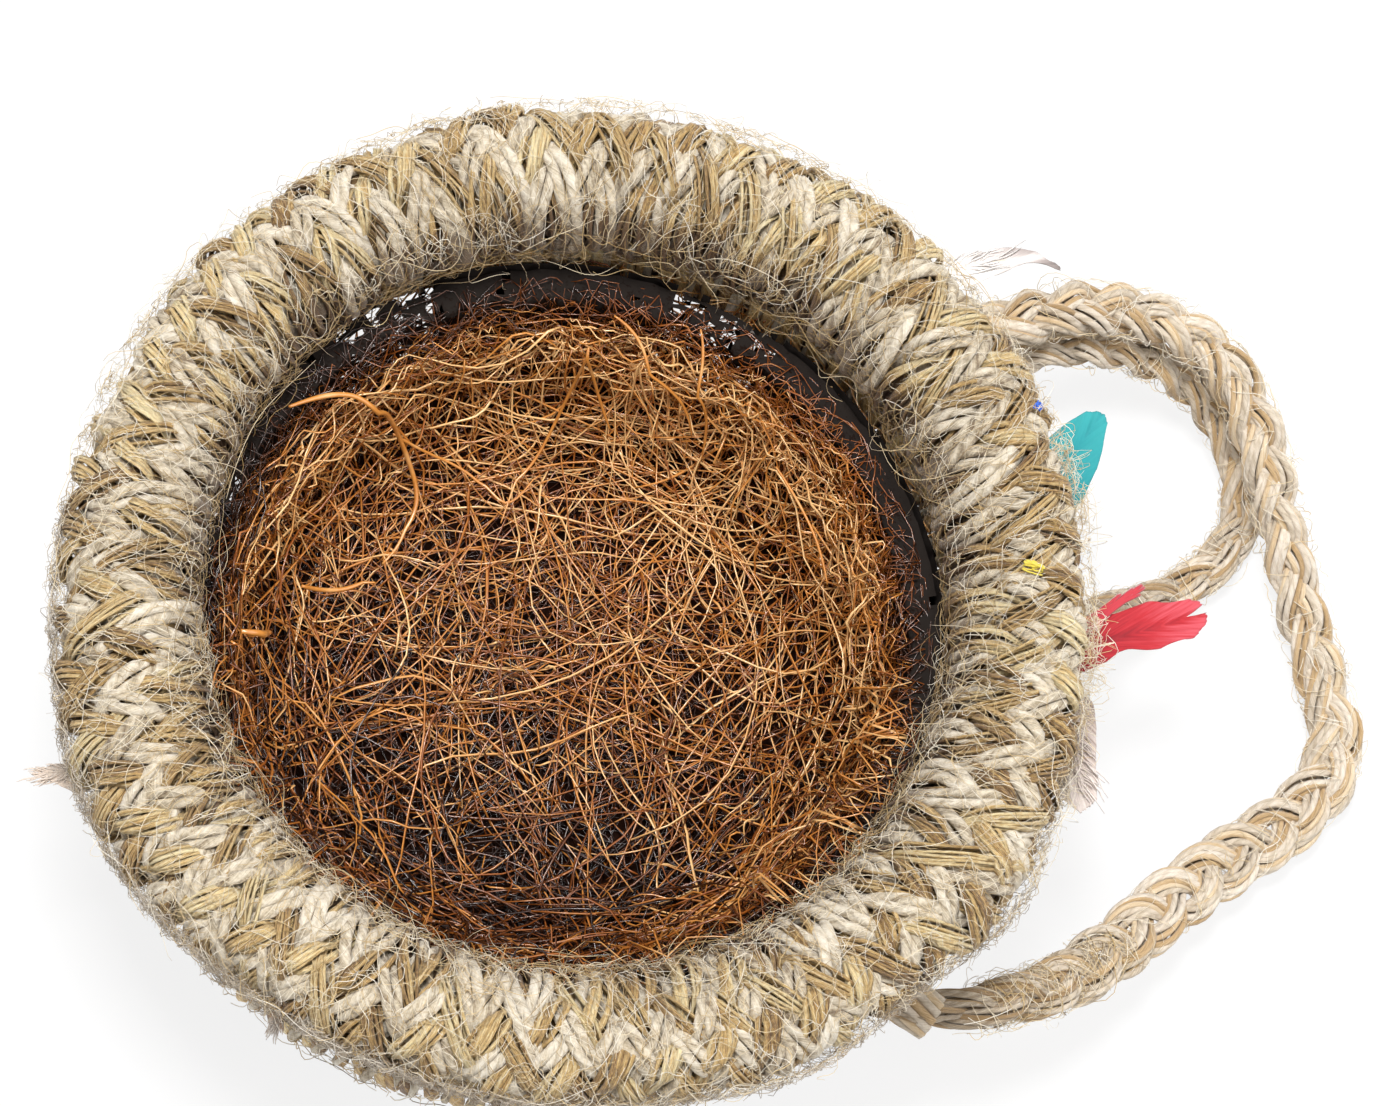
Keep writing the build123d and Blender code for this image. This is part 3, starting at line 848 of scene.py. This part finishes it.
# %% Bind the collar with both yarns
COLLAR_OUTSIDE = 6.1
collar_jute = bind_ring("collar_jute_binding", *COLLAR_RING, COLLAR_OUTSIDE, 150, 1.15, 2.2, 21)
dress(collar_jute, "jute", jute)
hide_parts("collar_lashing")
collar_cotton = bind_ring(
    "collar_cotton_binding", *COLLAR_RING, COLLAR_OUTSIDE + 0.15, 110, 0.8, -2.0, 22,
)
dress(collar_cotton, "cotton", cotton)

# %% Fur the collar
def collar_fuzz(name, count, lengths, seed):
    """Loose fibres matted on the outside of the collar."""
    rng = np.random.default_rng(seed)
    flat, share = curls(rng, count, 10, lengths, 0.1, 0.9)
    around = np.radians(rng.uniform(-90, 90, (count, 1))) + flat[..., 1] / COLLAR_OUTSIDE
    reach = COLLAR_OUTSIDE + np.clip(0.3 + 0.6 * uneven(rng, count, share, 3), -0.6, 1.8)
    angle = math.tau * rng.random((count, 1))
    paths = ring_point(*COLLAR_RING, angle, reach * np.cos(around), reach * np.sin(around), flat[..., 0])
    piece = tubes(name, paths, rng.uniform(0.05, 0.08, (count, 1)), 3, rng.random(count))
    dress(piece, "jute", loose_fibre)


collar_fuzz("collar_matted_fuzz", 1100, (3, 13), 64)

# %% [markdown]
# ## The coir bowl
# Coir is laid in a mould and felted, so its fibres run in all directions along the bowl's
# wall and arch a little out of it. A wall with a fibre pattern would look flat from so
# near, so the fibres are made one by one. Each starts as a curved line on a flat sheet,
# which is then wrapped onto the bowl's profile, with each fibre lifted off it by a height
# of its own. A dark felted shell behind closes the wall, except high on it, where the
# coir is thin and light comes through.

# %% The bowl's profile as a path from its middle outward
BOWL_INSIDE = bowl_outer - 5.5
BOWL_FLOOR = 31.0
BOWL_FLAT = 34.0
BOTTOM_WALL = 8.0
LIP = 4.6
LIP_LIMIT = bowl_top + 5


def profile(flat, edge, lip, bottom, top, outward):
    """Distance along a bowl's wall from its middle, with radius, height and normal."""
    arc = np.linspace(0, math.pi / 2, 80)
    radius = np.concatenate([[0], flat + (edge - flat) * np.sin(arc), [edge + lip]])
    height = np.concatenate([[bottom], top - (top - bottom) * np.cos(arc), [top]])
    steps = np.hypot(np.diff(radius), np.diff(height))
    distance = np.concatenate([[0], np.cumsum(steps)])
    slope_r, slope_z = np.gradient(radius, distance), np.gradient(height, distance)
    sign = 1 if outward else -1
    return distance, radius, height, sign * slope_z, -sign * slope_r


def wrap(flat_points, lift, shape):
    """Flat sheet points onto a bowl, lifted off its wall."""
    distance = np.hypot(flat_points[..., 0], flat_points[..., 1])
    angle = np.arctan2(flat_points[..., 1], flat_points[..., 0])
    radius, height, out_r, out_z = [np.interp(distance, shape[0], values) for values in shape[1:]]
    beyond = np.maximum(distance - shape[0][-1], 0)
    reach = radius + out_r * lift
    rise = height + out_z * lift + beyond
    return np.stack(
        [bowl_centre[0] + reach * np.cos(angle), bowl_centre[1] + reach * np.sin(angle), rise], -1,
    )


inside = profile(BOWL_FLOOR, BOWL_INSIDE, LIP, BOTTOM_WALL, bowl_top, False)
outside = profile(BOWL_FLAT, bowl_outer, 0.3, 0.0, bowl_top, True)
print("wall length inside", round(inside[0][-1], 1), "outside", round(outside[0][-1], 1))

# %% Scatter fibres on the sheet and wrap them
def coir_fibres(name, count, shape, lengths, thick, lifts, band, tones, seed, wave):
    """Curved fibres over a bowl's wall, as one piece, held back from the lip on the far side."""
    rng = np.random.default_rng(seed)
    flat, share = curls(rng, count, 10, lengths, 0.035, wave)
    least, most = max(shape[0][-1] - band[0], 0) ** 1.6, shape[0][-1] ** 1.6
    start = rng.uniform(least, most, count) ** (1 / 1.6)
    bearing = math.tau * rng.random(count)
    flat = flat + np.stack([start * np.cos(bearing), start * np.sin(bearing)], 1)[:, None]
    out = np.linalg.norm(flat, axis=-1, keepdims=True)
    far = np.clip(flat[..., 1:] / out / 0.9 + 0.35, 0, 1)
    edge = shape[0][-1] - band[1] * far * rng.uniform(0.35, 1.3, (count, 1, 1))
    flat = flat * (edge - np.sqrt((edge - out) ** 2 + 2.0)) / out
    lift = rng.uniform(*lifts, (count, 1)) + 1.1 * uneven(rng, count, share, 4)
    low, high = lifts[0], lifts[1] + 2.5
    lift = np.where(lift < low, low + 0.15 * (low - lift), lift)
    paths = wrap(flat, np.minimum(lift, high), shape)
    lowest, highest = (0.3, bowl_top + 1) if shape is outside else (0, LIP_LIMIT)
    paths[..., 2] = np.clip(paths[..., 2], lowest, highest)
    size = rng.uniform(*thick, (count, 1)) * np.interp(share, [0, 0.5, 1], [0.7, 1, 0.5])
    # Painted light and shade: fibres to the near and left sides are darker, as in the near rim's shadow,
    # and those to the far and right sides paler.
    painted_coir_shade = 0.35 * np.clip(-paths[:, 5, 1] / 45, -0.6, 1)
    painted_coir_shade -= 0.16 * np.clip(paths[:, 5, 0] / 40, -1, 1)
    return tubes(name, paths, size, 3, np.clip(rng.uniform(*tones, count) - painted_coir_shade, 0, 1))

# %% The coir material
# A husk fibre is hard and shiny, and changes shade in blotches about four millimetres long.
coir, tree, shader = new_material("coconut_husk_fibre", 0.26, 0.0, 1.0)
tint = add_node(tree, "Attribute", {"attribute_name": "tint"})
place = add_node(tree, "UVMap", {"uv_map": "along_and_round"})
split = add_node(tree, "SeparateXYZ", _0=place[0])
patch = add_node(tree, "CombineXYZ", _0=split["X"], _1=tint["Fac"], _2=tint["Fac"])
blotch = add_node(tree, "TexNoise", Vector=patch[0], Scale=0.25, Detail=2.0)
shade = add_node(tree, "Math", {"operation": "MULTIPLY_ADD"}, _0=blotch["Fac"], _1=0.5, _2=tint["Fac"])
shade = add_node(tree, "Math", {"operation": "SUBTRACT"}, _0=shade[0], _1=0.25)
stops = (0.0, "#1F0C05"), (0.2, "#44210D"), (0.45, "#95501A"), (0.75, "#D98F41"), (1.0, "#FACA8A")
color = add_node(tree, "ValToRGB", stops=stops, _0=shade[0])
tree.links.new(color[0], shader.inputs["Base Color"])
print("coir material:", coir.name, "with", len(tree.nodes), "nodes")

# %% Lay the coir in eight layers
# Each layer: name, number of fibres, wall, their lengths and thickness, height off the wall,
# band held back from the lip, tones from dark to pale, seed and how much they wave.
# The tones are painted shade and light: the deep layers and the lip fibres are dark as shade, the upper
# layers pale as if lit.
COIR_LAYERS = (
    ("inner_tangle_1", 1500, inside, (8, 40), (0.08, 0.15), (0.0, 1.4), (200, 0), (0.0, 0.15), 31, 0.5),
    ("inner_tangle_2", 950, inside, (8, 40), (0.1, 0.19), (1.2, 3.0), (200, 5), (0.02, 0.35), 32, 0.5),
    ("inner_tangle_3", 1000, inside, (8, 40), (0.11, 0.22), (2.4, 4.6), (200, 10), (0.15, 0.8), 33, 0.5),
    ("upper_tangle", 850, inside, (12, 60), (0.13, 0.25), (3.4, 6.5), (200, 12), (0.3, 1.15), 35, 0.22),
    ("short_bits", 800, inside, (3, 12), (0.1, 0.2), (2.4, 6.0), (200, 12), (0.3, 1.2), 36, 0.5),
    ("lip_fibres", 650, inside, (6, 24), (0.06, 0.14), (0.2, 1.4), (18, 2), (0.0, 0.2), 39, 0.5),
    ("edge_tangle", 800, inside, (6, 30), (0.07, 0.14), (0.6, 3.0), (24, 8), (0.1, 0.7), 38, 0.5),
    ("outer_tangle", 1300, outside, (14, 50), (0.12, 0.24), (-0.6, 1), (200, 0), (0.15, 1.1), 37, 0.5),
)
for name, *values in COIR_LAYERS:
    layer = coir_fibres("coir_" + name, *values)
    dress(layer, "coir", coir)
    if name == "inner_tangle_1":
        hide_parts("coir_bowl")

# %% Thick husk strands
HUSK_LIFT = 9.5
HUSK_STRANDS = (
    (0.42, (-60, 48), (-54, 54), (-45, 59), (-35, 51), (-26, 39), (-22, 30), (-21, 21), (-25, 17)),
    (0.6, (-75, -2), (-68, 1), (-62, 3)), (0.38, (-49, 15), (-34, 14), (-26, 14)),
    (0.28, (7, 74), (9, 64), (10, 58), (12, 49)),
    (0.26, (12, 75), (20, 73), (27, 66), (31, 58), (30, 50)),
    (0.24, (31, 70), (36, 66), (36, 56), (31, 44)), (0.26, (7, 74), (2, 51), (-7, 24)),
    (0.25, (-35, 49), (-26, 44), (-15, 38), (-9, 29), (-5, 26), (-1, 33)),
    (0.22, (54, 46), (59, 36), (63, 25), (63, 17)),
)


def husk_strand(number, radius, points):
    """One thick strand through points on the bowl's sheet."""
    line, _ = smooth_line("husk_line", [(x * MM, y * MM, HUSK_LIFT * MM) for x, y in points], 1.0)
    path = wrap(line[:, :2], line[:, 2], inside)[None]
    size = radius * np.interp(np.linspace(0, 1, len(line)), [0, 0.1, 0.8, 1], [0.6, 1, 0.9, 0.4])
    piece = tubes(f"coir_husk_strand_{number}", path, size, 6, 0.75)
    dress(piece, "coir", coir)


for number, (radius, *points) in enumerate(HUSK_STRANDS):
    husk_strand(number + 1, radius, points)

# %% Felted shell behind the fibres
THIN_PATCHES = (math.radians(62), math.radians(118), math.radians(158))


def felt_shell(name, shape, lift, hole_share, seed):
    """A rough shell along the bowl's wall, with small holes where the coir is thin."""
    rng = np.random.default_rng(seed)
    upper = shape[0][-1] - 26
    rings = np.concatenate([np.arange(0.5, upper, 1.5), np.arange(upper, upper + 26.01, 0.8)])
    turns = 280
    angle = np.linspace(0, math.tau, turns, endpoint=False)
    distance = np.repeat(rings[:, None], turns, 1)
    distance[:-1] += 0.2 * rng.normal(size=distance[:-1].shape)
    rough = lift + np.where(distance > upper, 0.4, 0.2) * rng.normal(size=distance.shape)
    flat_points = np.stack([distance * np.cos(angle), distance * np.sin(angle)], -1)
    corners = wrap(flat_points, rough, shape).reshape(-1, 3) * MM
    faces = [tuple(range(turns))]
    for ring in range(len(rings) - 1):
        for turn in range(turns):
            near_patch = min(abs(angle[turn] - place) for place in THIN_PATCHES) < 0.16
            share = hole_share if near_patch else 0.012
            thin = rings[ring] > upper and rng.random() < share
            if thin:
                continue
            beside = (turn + 1) % turns
            a, b = ring * turns, (ring + 1) * turns
            faces.append((a + turn, b + turn, b + beside, a + beside))
    mesh = bpy.data.meshes.new(name)
    mesh.from_pydata([tuple(c) for c in corners], [], faces)
    if shape is outside:
        mesh.flip_normals()
    mesh.update()
    paleness = np.clip(1 - (shape[0][-1] - distance.ravel()) / 24, 0, 1)
    dress(placed(name, mesh, paleness), "coir_felt", coir_felt)
    print(name, "faces", len(faces))

# %% Cover the wall inside and outside
# The shell is dull, painted near black as shade in the depths between the fibres and greyer towards the
# lip, with lumps of under a millimetre.
coir_felt, tree, shader = new_material("felted_coir", 0.95, 0.0, 0.1)
where = add_node(tree, "TexCoord")
fibre_grain = add_node(tree, "TexNoise", Vector=where["Object"], Scale=1.1 / MM, Detail=5.0, Roughness=0.75)
tint = add_node(tree, "Attribute", {"attribute_name": "tint"})
mixed = add_node(
    tree, "Math", {"operation": "MULTIPLY_ADD"}, _0=tint["Fac"], _1=0.6, _2=fibre_grain["Fac"],
)
stops = (0.35, "#120602"), (0.6, "#27130A"), (0.9, "#1A100B"), (1.25, "#26211E")
color = add_node(tree, "ValToRGB", stops=stops, _0=mixed[0])
tree.links.new(color[0], shader.inputs["Base Color"])
felt_shell("coir_felt_inside", inside, 0.4, 0.2, 41)
felt_shell("coir_felt_outside", outside, -1.0, 0.8, 42)

# %% [markdown]
# ## Feathers
# The trim is six short feathers whose shafts are pushed under the lashing. A feather is a
# shaft with two rows of barbs. On a firm feather the barbs hold together in one thin,
# smooth vane that is lined along the barbs, and on a downy one they are loose and curl. A
# flat card that is clear round the feather is a common way to make one, but a bent sheet
# and real barbs keep true edges.

# %% Two materials for vanes
def vane_material(name, along, across, *stops):
    """Dyed barbs, coloured by their place along the feather and the distance out."""
    material, tree, shader = new_material(name, 0.6, 0.4, 0.3)
    place = add_node(tree, "UVMap", {"uv_map": "along_and_round"})
    split = add_node(tree, "SeparateXYZ", _0=place[0])
    tint = add_node(tree, "Attribute", {"attribute_name": "tint"})
    out = add_node(tree, "Math", {"operation": "MULTIPLY"}, _0=split["X"], _1=across)
    both = add_node(tree, "Math", {"operation": "MULTIPLY_ADD"}, _0=tint["Fac"], _1=along, _2=out[0])
    color = add_node(tree, "ValToRGB", stops=stops, _0=both[0])
    tree.links.new(color[0], shader.inputs["Base Color"])
    return material


def blade_material(name, streaks, *stops):
    """A firm vane, coloured from root to tip, with lines a third of a millimetre apart."""
    material, tree, shader = new_material(name, 0.6, 0.15, 0.25)
    place = add_node(tree, "UVMap", {"uv_map": "across_and_along_barbs"})
    tint = add_node(tree, "Attribute", {"attribute_name": "tint"})
    drawn_out = add_node(tree, "VectorMath", {"operation": "MULTIPLY"}, _0=place[0], _1=(3.0, 0.15, 1.0))
    lines = add_node(tree, "TexNoise", Vector=drawn_out[0], Scale=1.0, Detail=4.0)
    both = add_node(
        tree, "Math", {"operation": "MULTIPLY_ADD"}, _0=lines["Fac"], _1=streaks, _2=tint["Fac"],
    )
    centred = add_node(tree, "Math", {"operation": "SUBTRACT"}, _0=both[0], _1=0.5 * streaks)
    color = add_node(tree, "ValToRGB", stops=stops, _0=centred[0])
    tree.links.new(color[0], shader.inputs["Base Color"])
    return material

# %% Shafts, and the place that a vane is built in
ROOT_HEIGHT = 42.45
VANE_THICKNESS = 0.25
# A shaft is horn: smooth, pale and a little glossy.
quill_horn, tree, shader = new_material("quill_horn", 0.4, 0.0, 0.5)
shader.inputs["Base Color"].default_value = linear("#D9CDB8")


def feather_place(root, heading, drop):
    """A function from distances along a feather, across it and above it to points."""
    heading, drop = math.radians(heading), math.radians(drop)
    along = unit(np.array([math.cos(heading), math.sin(heading), -math.tan(drop)]))
    level = np.array([-math.sin(heading), math.cos(heading), 0.0])
    normal = np.cross(along, level)
    return lambda x, y, z: (
        np.array(root) + x[..., None] * along + y[..., None] * level + z[..., None] * normal
    )


def straight(x):
    """No bow in the shaft."""
    return 0 * x


def rooted(colour, root, heading, drop, length, bow=straight):
    """A feather's shaft, thick at its root, and the place that its vane is built in."""
    place = feather_place((*root, ROOT_HEIGHT), heading, drop)
    reach = np.linspace(0, length, 14)[None]
    size = np.interp(reach, [0, length], [0.45, 0.1])
    shaft_path = place(reach, bow(reach), 0.1 + 0 * reach)
    shaft = tubes(colour + "_feather_shaft", shaft_path, size, 8, 0.5)
    dress(shaft, "quill", quill_horn)
    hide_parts(colour + "_feather_quill")
    return place

# %% Loose barbs
def barbs(name, place, length, start, width, count, down, bow, dye, seed):
    """Two rows of loose barbs along a shaft, curlier the more downy they are."""
    rng = np.random.default_rng(seed)
    begin = np.repeat(np.linspace(start, length * 0.96, count), 2)[:, None]
    side = np.tile([1.0, -1.0], count)[:, None]
    share = (begin - start) / (length - start)
    lean = np.radians(50 - 40 * share + 24 * down * rng.normal(size=begin.shape))
    lean = np.clip(lean, 0.15, 1.9)
    half_width = width / 2 * np.sin(math.pi * np.clip(share, 0.1, 0.95)) ** 0.6
    span = half_width / np.sin(lean) * (1 + 0.2 * down * rng.normal(size=lean.shape))
    step = np.linspace(0, 1, 7)[None]
    turn = lean * (1.15 - 0.3 * step) + down * 0.8 * np.sin(5 * step + 9 * rng.random(span.shape))
    ahead = begin + np.cumsum(np.cos(turn) * span / 7, 1) - np.cos(turn[:, :1]) * span / 7
    out = side * (np.cumsum(np.sin(turn) * span / 7, 1) - np.sin(turn[:, :1]) * span / 7)
    lift = 0.4 + down * 1.3 * step * rng.normal(size=span.shape)
    size = (0.2 - 0.12 * down) * np.interp(step, [0, 0.8, 1], [1, 0.9, 0.4])
    tints = np.clip(share[:, 0] + 0.1 * rng.normal(size=2 * count), 0, 1)
    vane = tubes(name, place(ahead, bow(begin) + out, lift), size, 3, tints)
    dress(vane, name.split("_")[0] + "_vane", dye)
    return vane

# %% A vane whose barbs hold together
def soft_steps(values, places, wanted):
    """Values at stations, rounded off between them."""
    fine = np.linspace(places[0], places[-1], 300)
    even = np.pad(np.interp(fine, places, values), 15, mode="edge")
    return np.interp(wanted, fine, np.convolve(even, np.ones(31) / 31, "valid"))


def blade(name, place, outline, tip, ragged, dye, seed):
    """A vane whose barbs hold together: a thin sheet between its right and left edges."""
    rng = np.random.default_rng(seed)
    stations, right_edge, left_edge = np.array(outline).T
    rows, columns = 44, 33
    side = np.linspace(0, 1, columns)[None]
    reach = np.interp(side, *tip) + ragged * rng.normal(size=side.shape)
    ahead = stations[0] + np.linspace(0, 1, rows)[:, None] * (reach - stations[0])
    low = soft_steps(right_edge, stations, ahead)
    high = soft_steps(left_edge, stations, ahead)
    out = low + (high - low) * side
    barb = np.abs(out - 0.5) - 0.27 * ahead
    lift = 0.35 - 0.02 * out ** 2 + 0.12 * np.sin(3.1 * barb) + 0.06 * np.sin(8.3 * barb)
    corners = place(ahead, out, lift).reshape(-1, 3) * MM
    a = (np.arange(rows - 1)[:, None] * columns + np.arange(columns - 1)).ravel()
    faces = np.stack([a, a + columns, a + columns + 1, a + 1], 1)
    mesh = bpy.data.meshes.new(name)
    mesh.from_pydata(corners.tolist(), [], faces.tolist())
    mesh.update()
    layer = mesh.uv_layers.new(name="across_and_along_barbs")
    layer.data.foreach_set("uv", np.stack([barb.ravel(), ahead.ravel()], 1)[faces].ravel())
    share = (ahead / stations[-1] - 0.3 * np.exp(-((out - 0.6) ** 2) / 0.4)).ravel()
    piece = placed(name, mesh, share)
    piece.modifiers.new("thickness", "SOLIDIFY").thickness = VANE_THICKNESS * MM
    dress(piece, name.split("_")[0] + "_vane", dye)
    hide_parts(name.replace("blade", "vane"))
    print(name, "faces", len(faces))

# %% The teal feather: one smooth leaf
teal_dye = blade_material("teal_dyed_vane", 0.5, (0.0, "#1D7D83"), (0.5, "#278D93"), (1.0, "#349DA0"))
TEAL_EDGES = (
    (1.5, -0.6, 0.6), (5.0, -4.0, 3.4), (8.5, -4.9, 4.9), (12.5, -4.1, 5.1), (15.5, -3.6, 4.7),
    (18.5, -2.5, 3.9), (21.0, -1.3, 2.9), (22.8, -0.8, 2.0),
)
TEAL_TIP = ([0, 0.3, 0.7, 1], [22.0, 22.8, 22.6, 21.6])
place = rooted("teal", (67.37, 15.9), 55, 6, 18)
blade("teal_feather_blade", place, TEAL_EDGES, TEAL_TIP, 0.04, teal_dye, 71)

# %% The red feather: a fan with a ragged tip and a few barbs that came away
red_dye = blade_material(
    "red_dyed_vane", 1.1, (0.0, "#7C1722"), (0.35, "#9E1E29"), (0.62, "#B42932"), (1.1, "#CC545F")
)
RED_EDGES = (
    (1.0, -1.0, 1.0), (5.0, -3.2, 3.4), (10.0, -2.7, 4.6), (12.0, -1.9, 4.4), (14.0, -1.3, 4.2),
    (16.0, -2.1, 4.4), (18.5, -2.8, 4.6), (20.5, -2.5, 4.9), (22.3, -2.3, 3.9), (25.0, -2.5, 3.4),
    (28.3, -2.2, 3.6),
)
RED_TIP = (
    [0, 0.12, 0.3, 0.5, 0.56, 0.66, 0.72, 0.85, 1],
    [25.2, 26.6, 28.0, 28.2, 24.9, 26.9, 28.1, 27.7, 26.3],
)
place = rooted("red", (69.04, -5.0), 18.5, 8, 20)
blade("red_feather_blade", place, RED_EDGES, RED_TIP, 0.12, red_dye, 72)
rng = np.random.default_rng(79)
step = np.linspace(0, 1, 10)[None]
root_ahead, root_out = rng.uniform(7.5, 10.5, (11, 1)), rng.uniform(1.5, 4.0, (11, 1))
end_ahead, end_out = rng.uniform(15.5, 20.3, (11, 1)), rng.uniform(6.0, 7.3, (11, 1))
ahead = root_ahead + (end_ahead - root_ahead) * step
out = root_out + (end_out - root_out) * step ** 0.8
red_barb = vane_material("red_dyed_barbs", 0.6, 0.1, (0.0, "#941C28"), (1.0, "#BC3440"))
tuft = tubes("red_feather_tuft", place(ahead, out, 0.5 + 0 * out), 0.3, 4, 0.5, flat=0.4)
dress(tuft, "red_vane", red_barb)

# %% The grey feather: a blade over down
grey_sheet = blade_material(
    "grey_undyed_vane", 0.35, (0.0, "#FBFAF8"), (0.5, "#ECE8E5"), (0.7, "#CFC6C2"), (0.85, "#A89C98"),
    (1.0, "#857B78"),
)
grey_barbs = vane_material(
    "grey_undyed_barbs", 0.9, 0.02, (0.0, "#F6F3F0"), (0.6, "#EAE5E1"), (1.0, "#D8D1CD")
)
GREY_EDGES = (
    (3.0, -0.8, 1.0), (8.0, -1.8, 2.6), (12.0, -1.9, 3.4), (15.7, -1.3, 3.7), (20.0, -0.5, 3.4),
    (22.4, -0.1, 2.9), (24.7, 0.2, 1.9), (26.5, -0.9, 0.5), (28.3, -2.6, -2.1),
)
bend = lambda x: 1.6 * np.sin(math.pi * x / 28) - 2.4 * (x / 28.5) ** 12
place = rooted("grey", (46.21, 51.53), 16, 4, 26.5, bend)
blade("grey_feather_blade", place, GREY_EDGES, ([0, 1], [28.3, 28.3]), 0.05, grey_sheet, 73)
barbs("grey_feather_down", place, 17, 3, 5.0, 45, 0.3, bend, grey_barbs, 73)

# %% The pale feather: short, and swept back
pale_sheet = blade_material("pale_pink_vane", 2.0, (0.0, "#85746B"), (0.4, "#B7A69D"), (1.0, "#E2D6CF"))
pale_down = vane_material(
    "pale_pink_down", 0.3, 0.1, (0.0, "#C2B1A8"), (0.4, "#DCCEC6"), (1.0, "#F3EAE5")
)
PALE_EDGES = (
    (0.2, 3.0, 8.2), (4.0, 2.0, 8.9), (6.5, 0.0, 7.7), (9.0, -1.5, 6.0), (12.6, -3.2, 3.5),
    (15.0, -2.8, 2.2), (16.8, -1.8, 0.8),
)
place = rooted("pale", (68.18, -11.96), -57, 10, 14)
swept = lambda x: 5.4 - 0.4 * x
blade("pale_feather_blade", place, PALE_EDGES, ([0, 1], [16.8, 16.4]), 0.15, pale_sheet, 74)
barbs("pale_feather_down", place, 13, 0.5, 4.0, 70, 0.35, swept, pale_down, 74)

# %% The cream feather
cream_down = vane_material("cream_down", 0.5, 0.1, (0.0, "#CFC4B9"), (0.6, "#E3D2C2"), (1.0, "#EFDDCE"))
place = rooted("cream", (-65.41, -22.63), -170, 8, 12)
CREAM_EDGES = (
    (2.0, -1.0, 3.4), (6.8, -1.0, 4.4), (8.3, -0.3, 3.4), (10.0, 0.2, 2.1), (11.7, 0.3, 1.1),
    (12.8, 0.2, 0.6),
)
cream_sheet = blade_material("cream_vane", 1.2, (0.0, "#CDBFB1"), (0.6, "#E3D2C2"), (1.0, "#F0E2D6"))
blade("cream_feather_blade", place, CREAM_EDGES, ([0, 1], [12.8, 12.6]), 0.1, cream_sheet, 75)
tapered = lambda x: 1.6 - 0.1 * x
barbs("cream_feather_down", place, 11, 3, 3.0, 50, 0.3, tapered, cream_down, 75)

# %% The brown feather: down only
brown_down = vane_material("brown_down", 0.9, 0.1, (0.0, "#A06A3C"), (0.5, "#C79A6C"), (1.0, "#EFE6DC"))
place = rooted("brown", (-40.76, -55.94), -104, 14, 5)
brown = barbs("brown_feather_barbs", place, 4.8, 1.0, 2.6, 60, 0.3, straight, brown_down, 76)
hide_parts("brown_feather_vane")

# %% [markdown]
# ## Two dyed yarn ends and the hoop
# A yellow and a blue scrap of yarn are caught on the rim. They are too small for twist or
# fuzz, so a few thin strands side by side are enough. Inside the roll runs the wire hoop
# that keeps it round. It is hidden, so the CAD ring stays and only gets its metal.

# %% Dyed scraps
def scrap(node, direction, strands, half_length, spread, colour, seed):
    """A few short dyed yarns side by side."""
    rng = np.random.default_rng(seed)
    low, high = node_box(node)
    along = unit(np.array(direction, float))
    across = unit(np.cross(along, [0, 0, 1.0]))
    other = np.cross(across, along)
    step = np.linspace(-1, 1, 10)[None]
    side = spread * rng.normal(size=(strands, 1)) + 0.25 * uneven(rng, strands, step, 2)
    lift = 0.5 * spread * rng.normal(size=(strands, 1)) - 0.3
    reach = half_length * step * rng.uniform(0.8, 1.1, (strands, 1))
    paths = (low + high) / 2 + reach[..., None] * along + side[..., None] * across
    paths = paths + lift[..., None] * other
    dye, _, shader = new_material(node + "_cotton", 0.8, 0.3, 0.2)
    shader.inputs["Base Color"].default_value = linear(colour)
    piece = tubes(node + "_scrap", paths, 0.12, 5, rng.random(strands))
    dress(piece, node.split("_")[0] + "_dye", dye)
    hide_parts(node)


scrap("yellow_yarn", (-0.957, 0.292, 0), 16, 1.5, 0.5, "#DAC64A", 81)
scrap("blue_yarn", (-0.599, 0.765, 0.238), 7, 0.7, 0.25, "#3F6FD8", 82)

# %% The wire hoop
# Zinc-coated steel: a pale grey metal, dulled by the coating.
wire, tree, shader = new_material("galvanised_wire", 0.35, 0.0, 0.5)
shader.inputs["Base Color"].default_value = linear("#A9ABAE")
shader.inputs["Metallic"].default_value = 1.0
dress(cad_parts["rim_hoop"], "hoop_wire", wire)
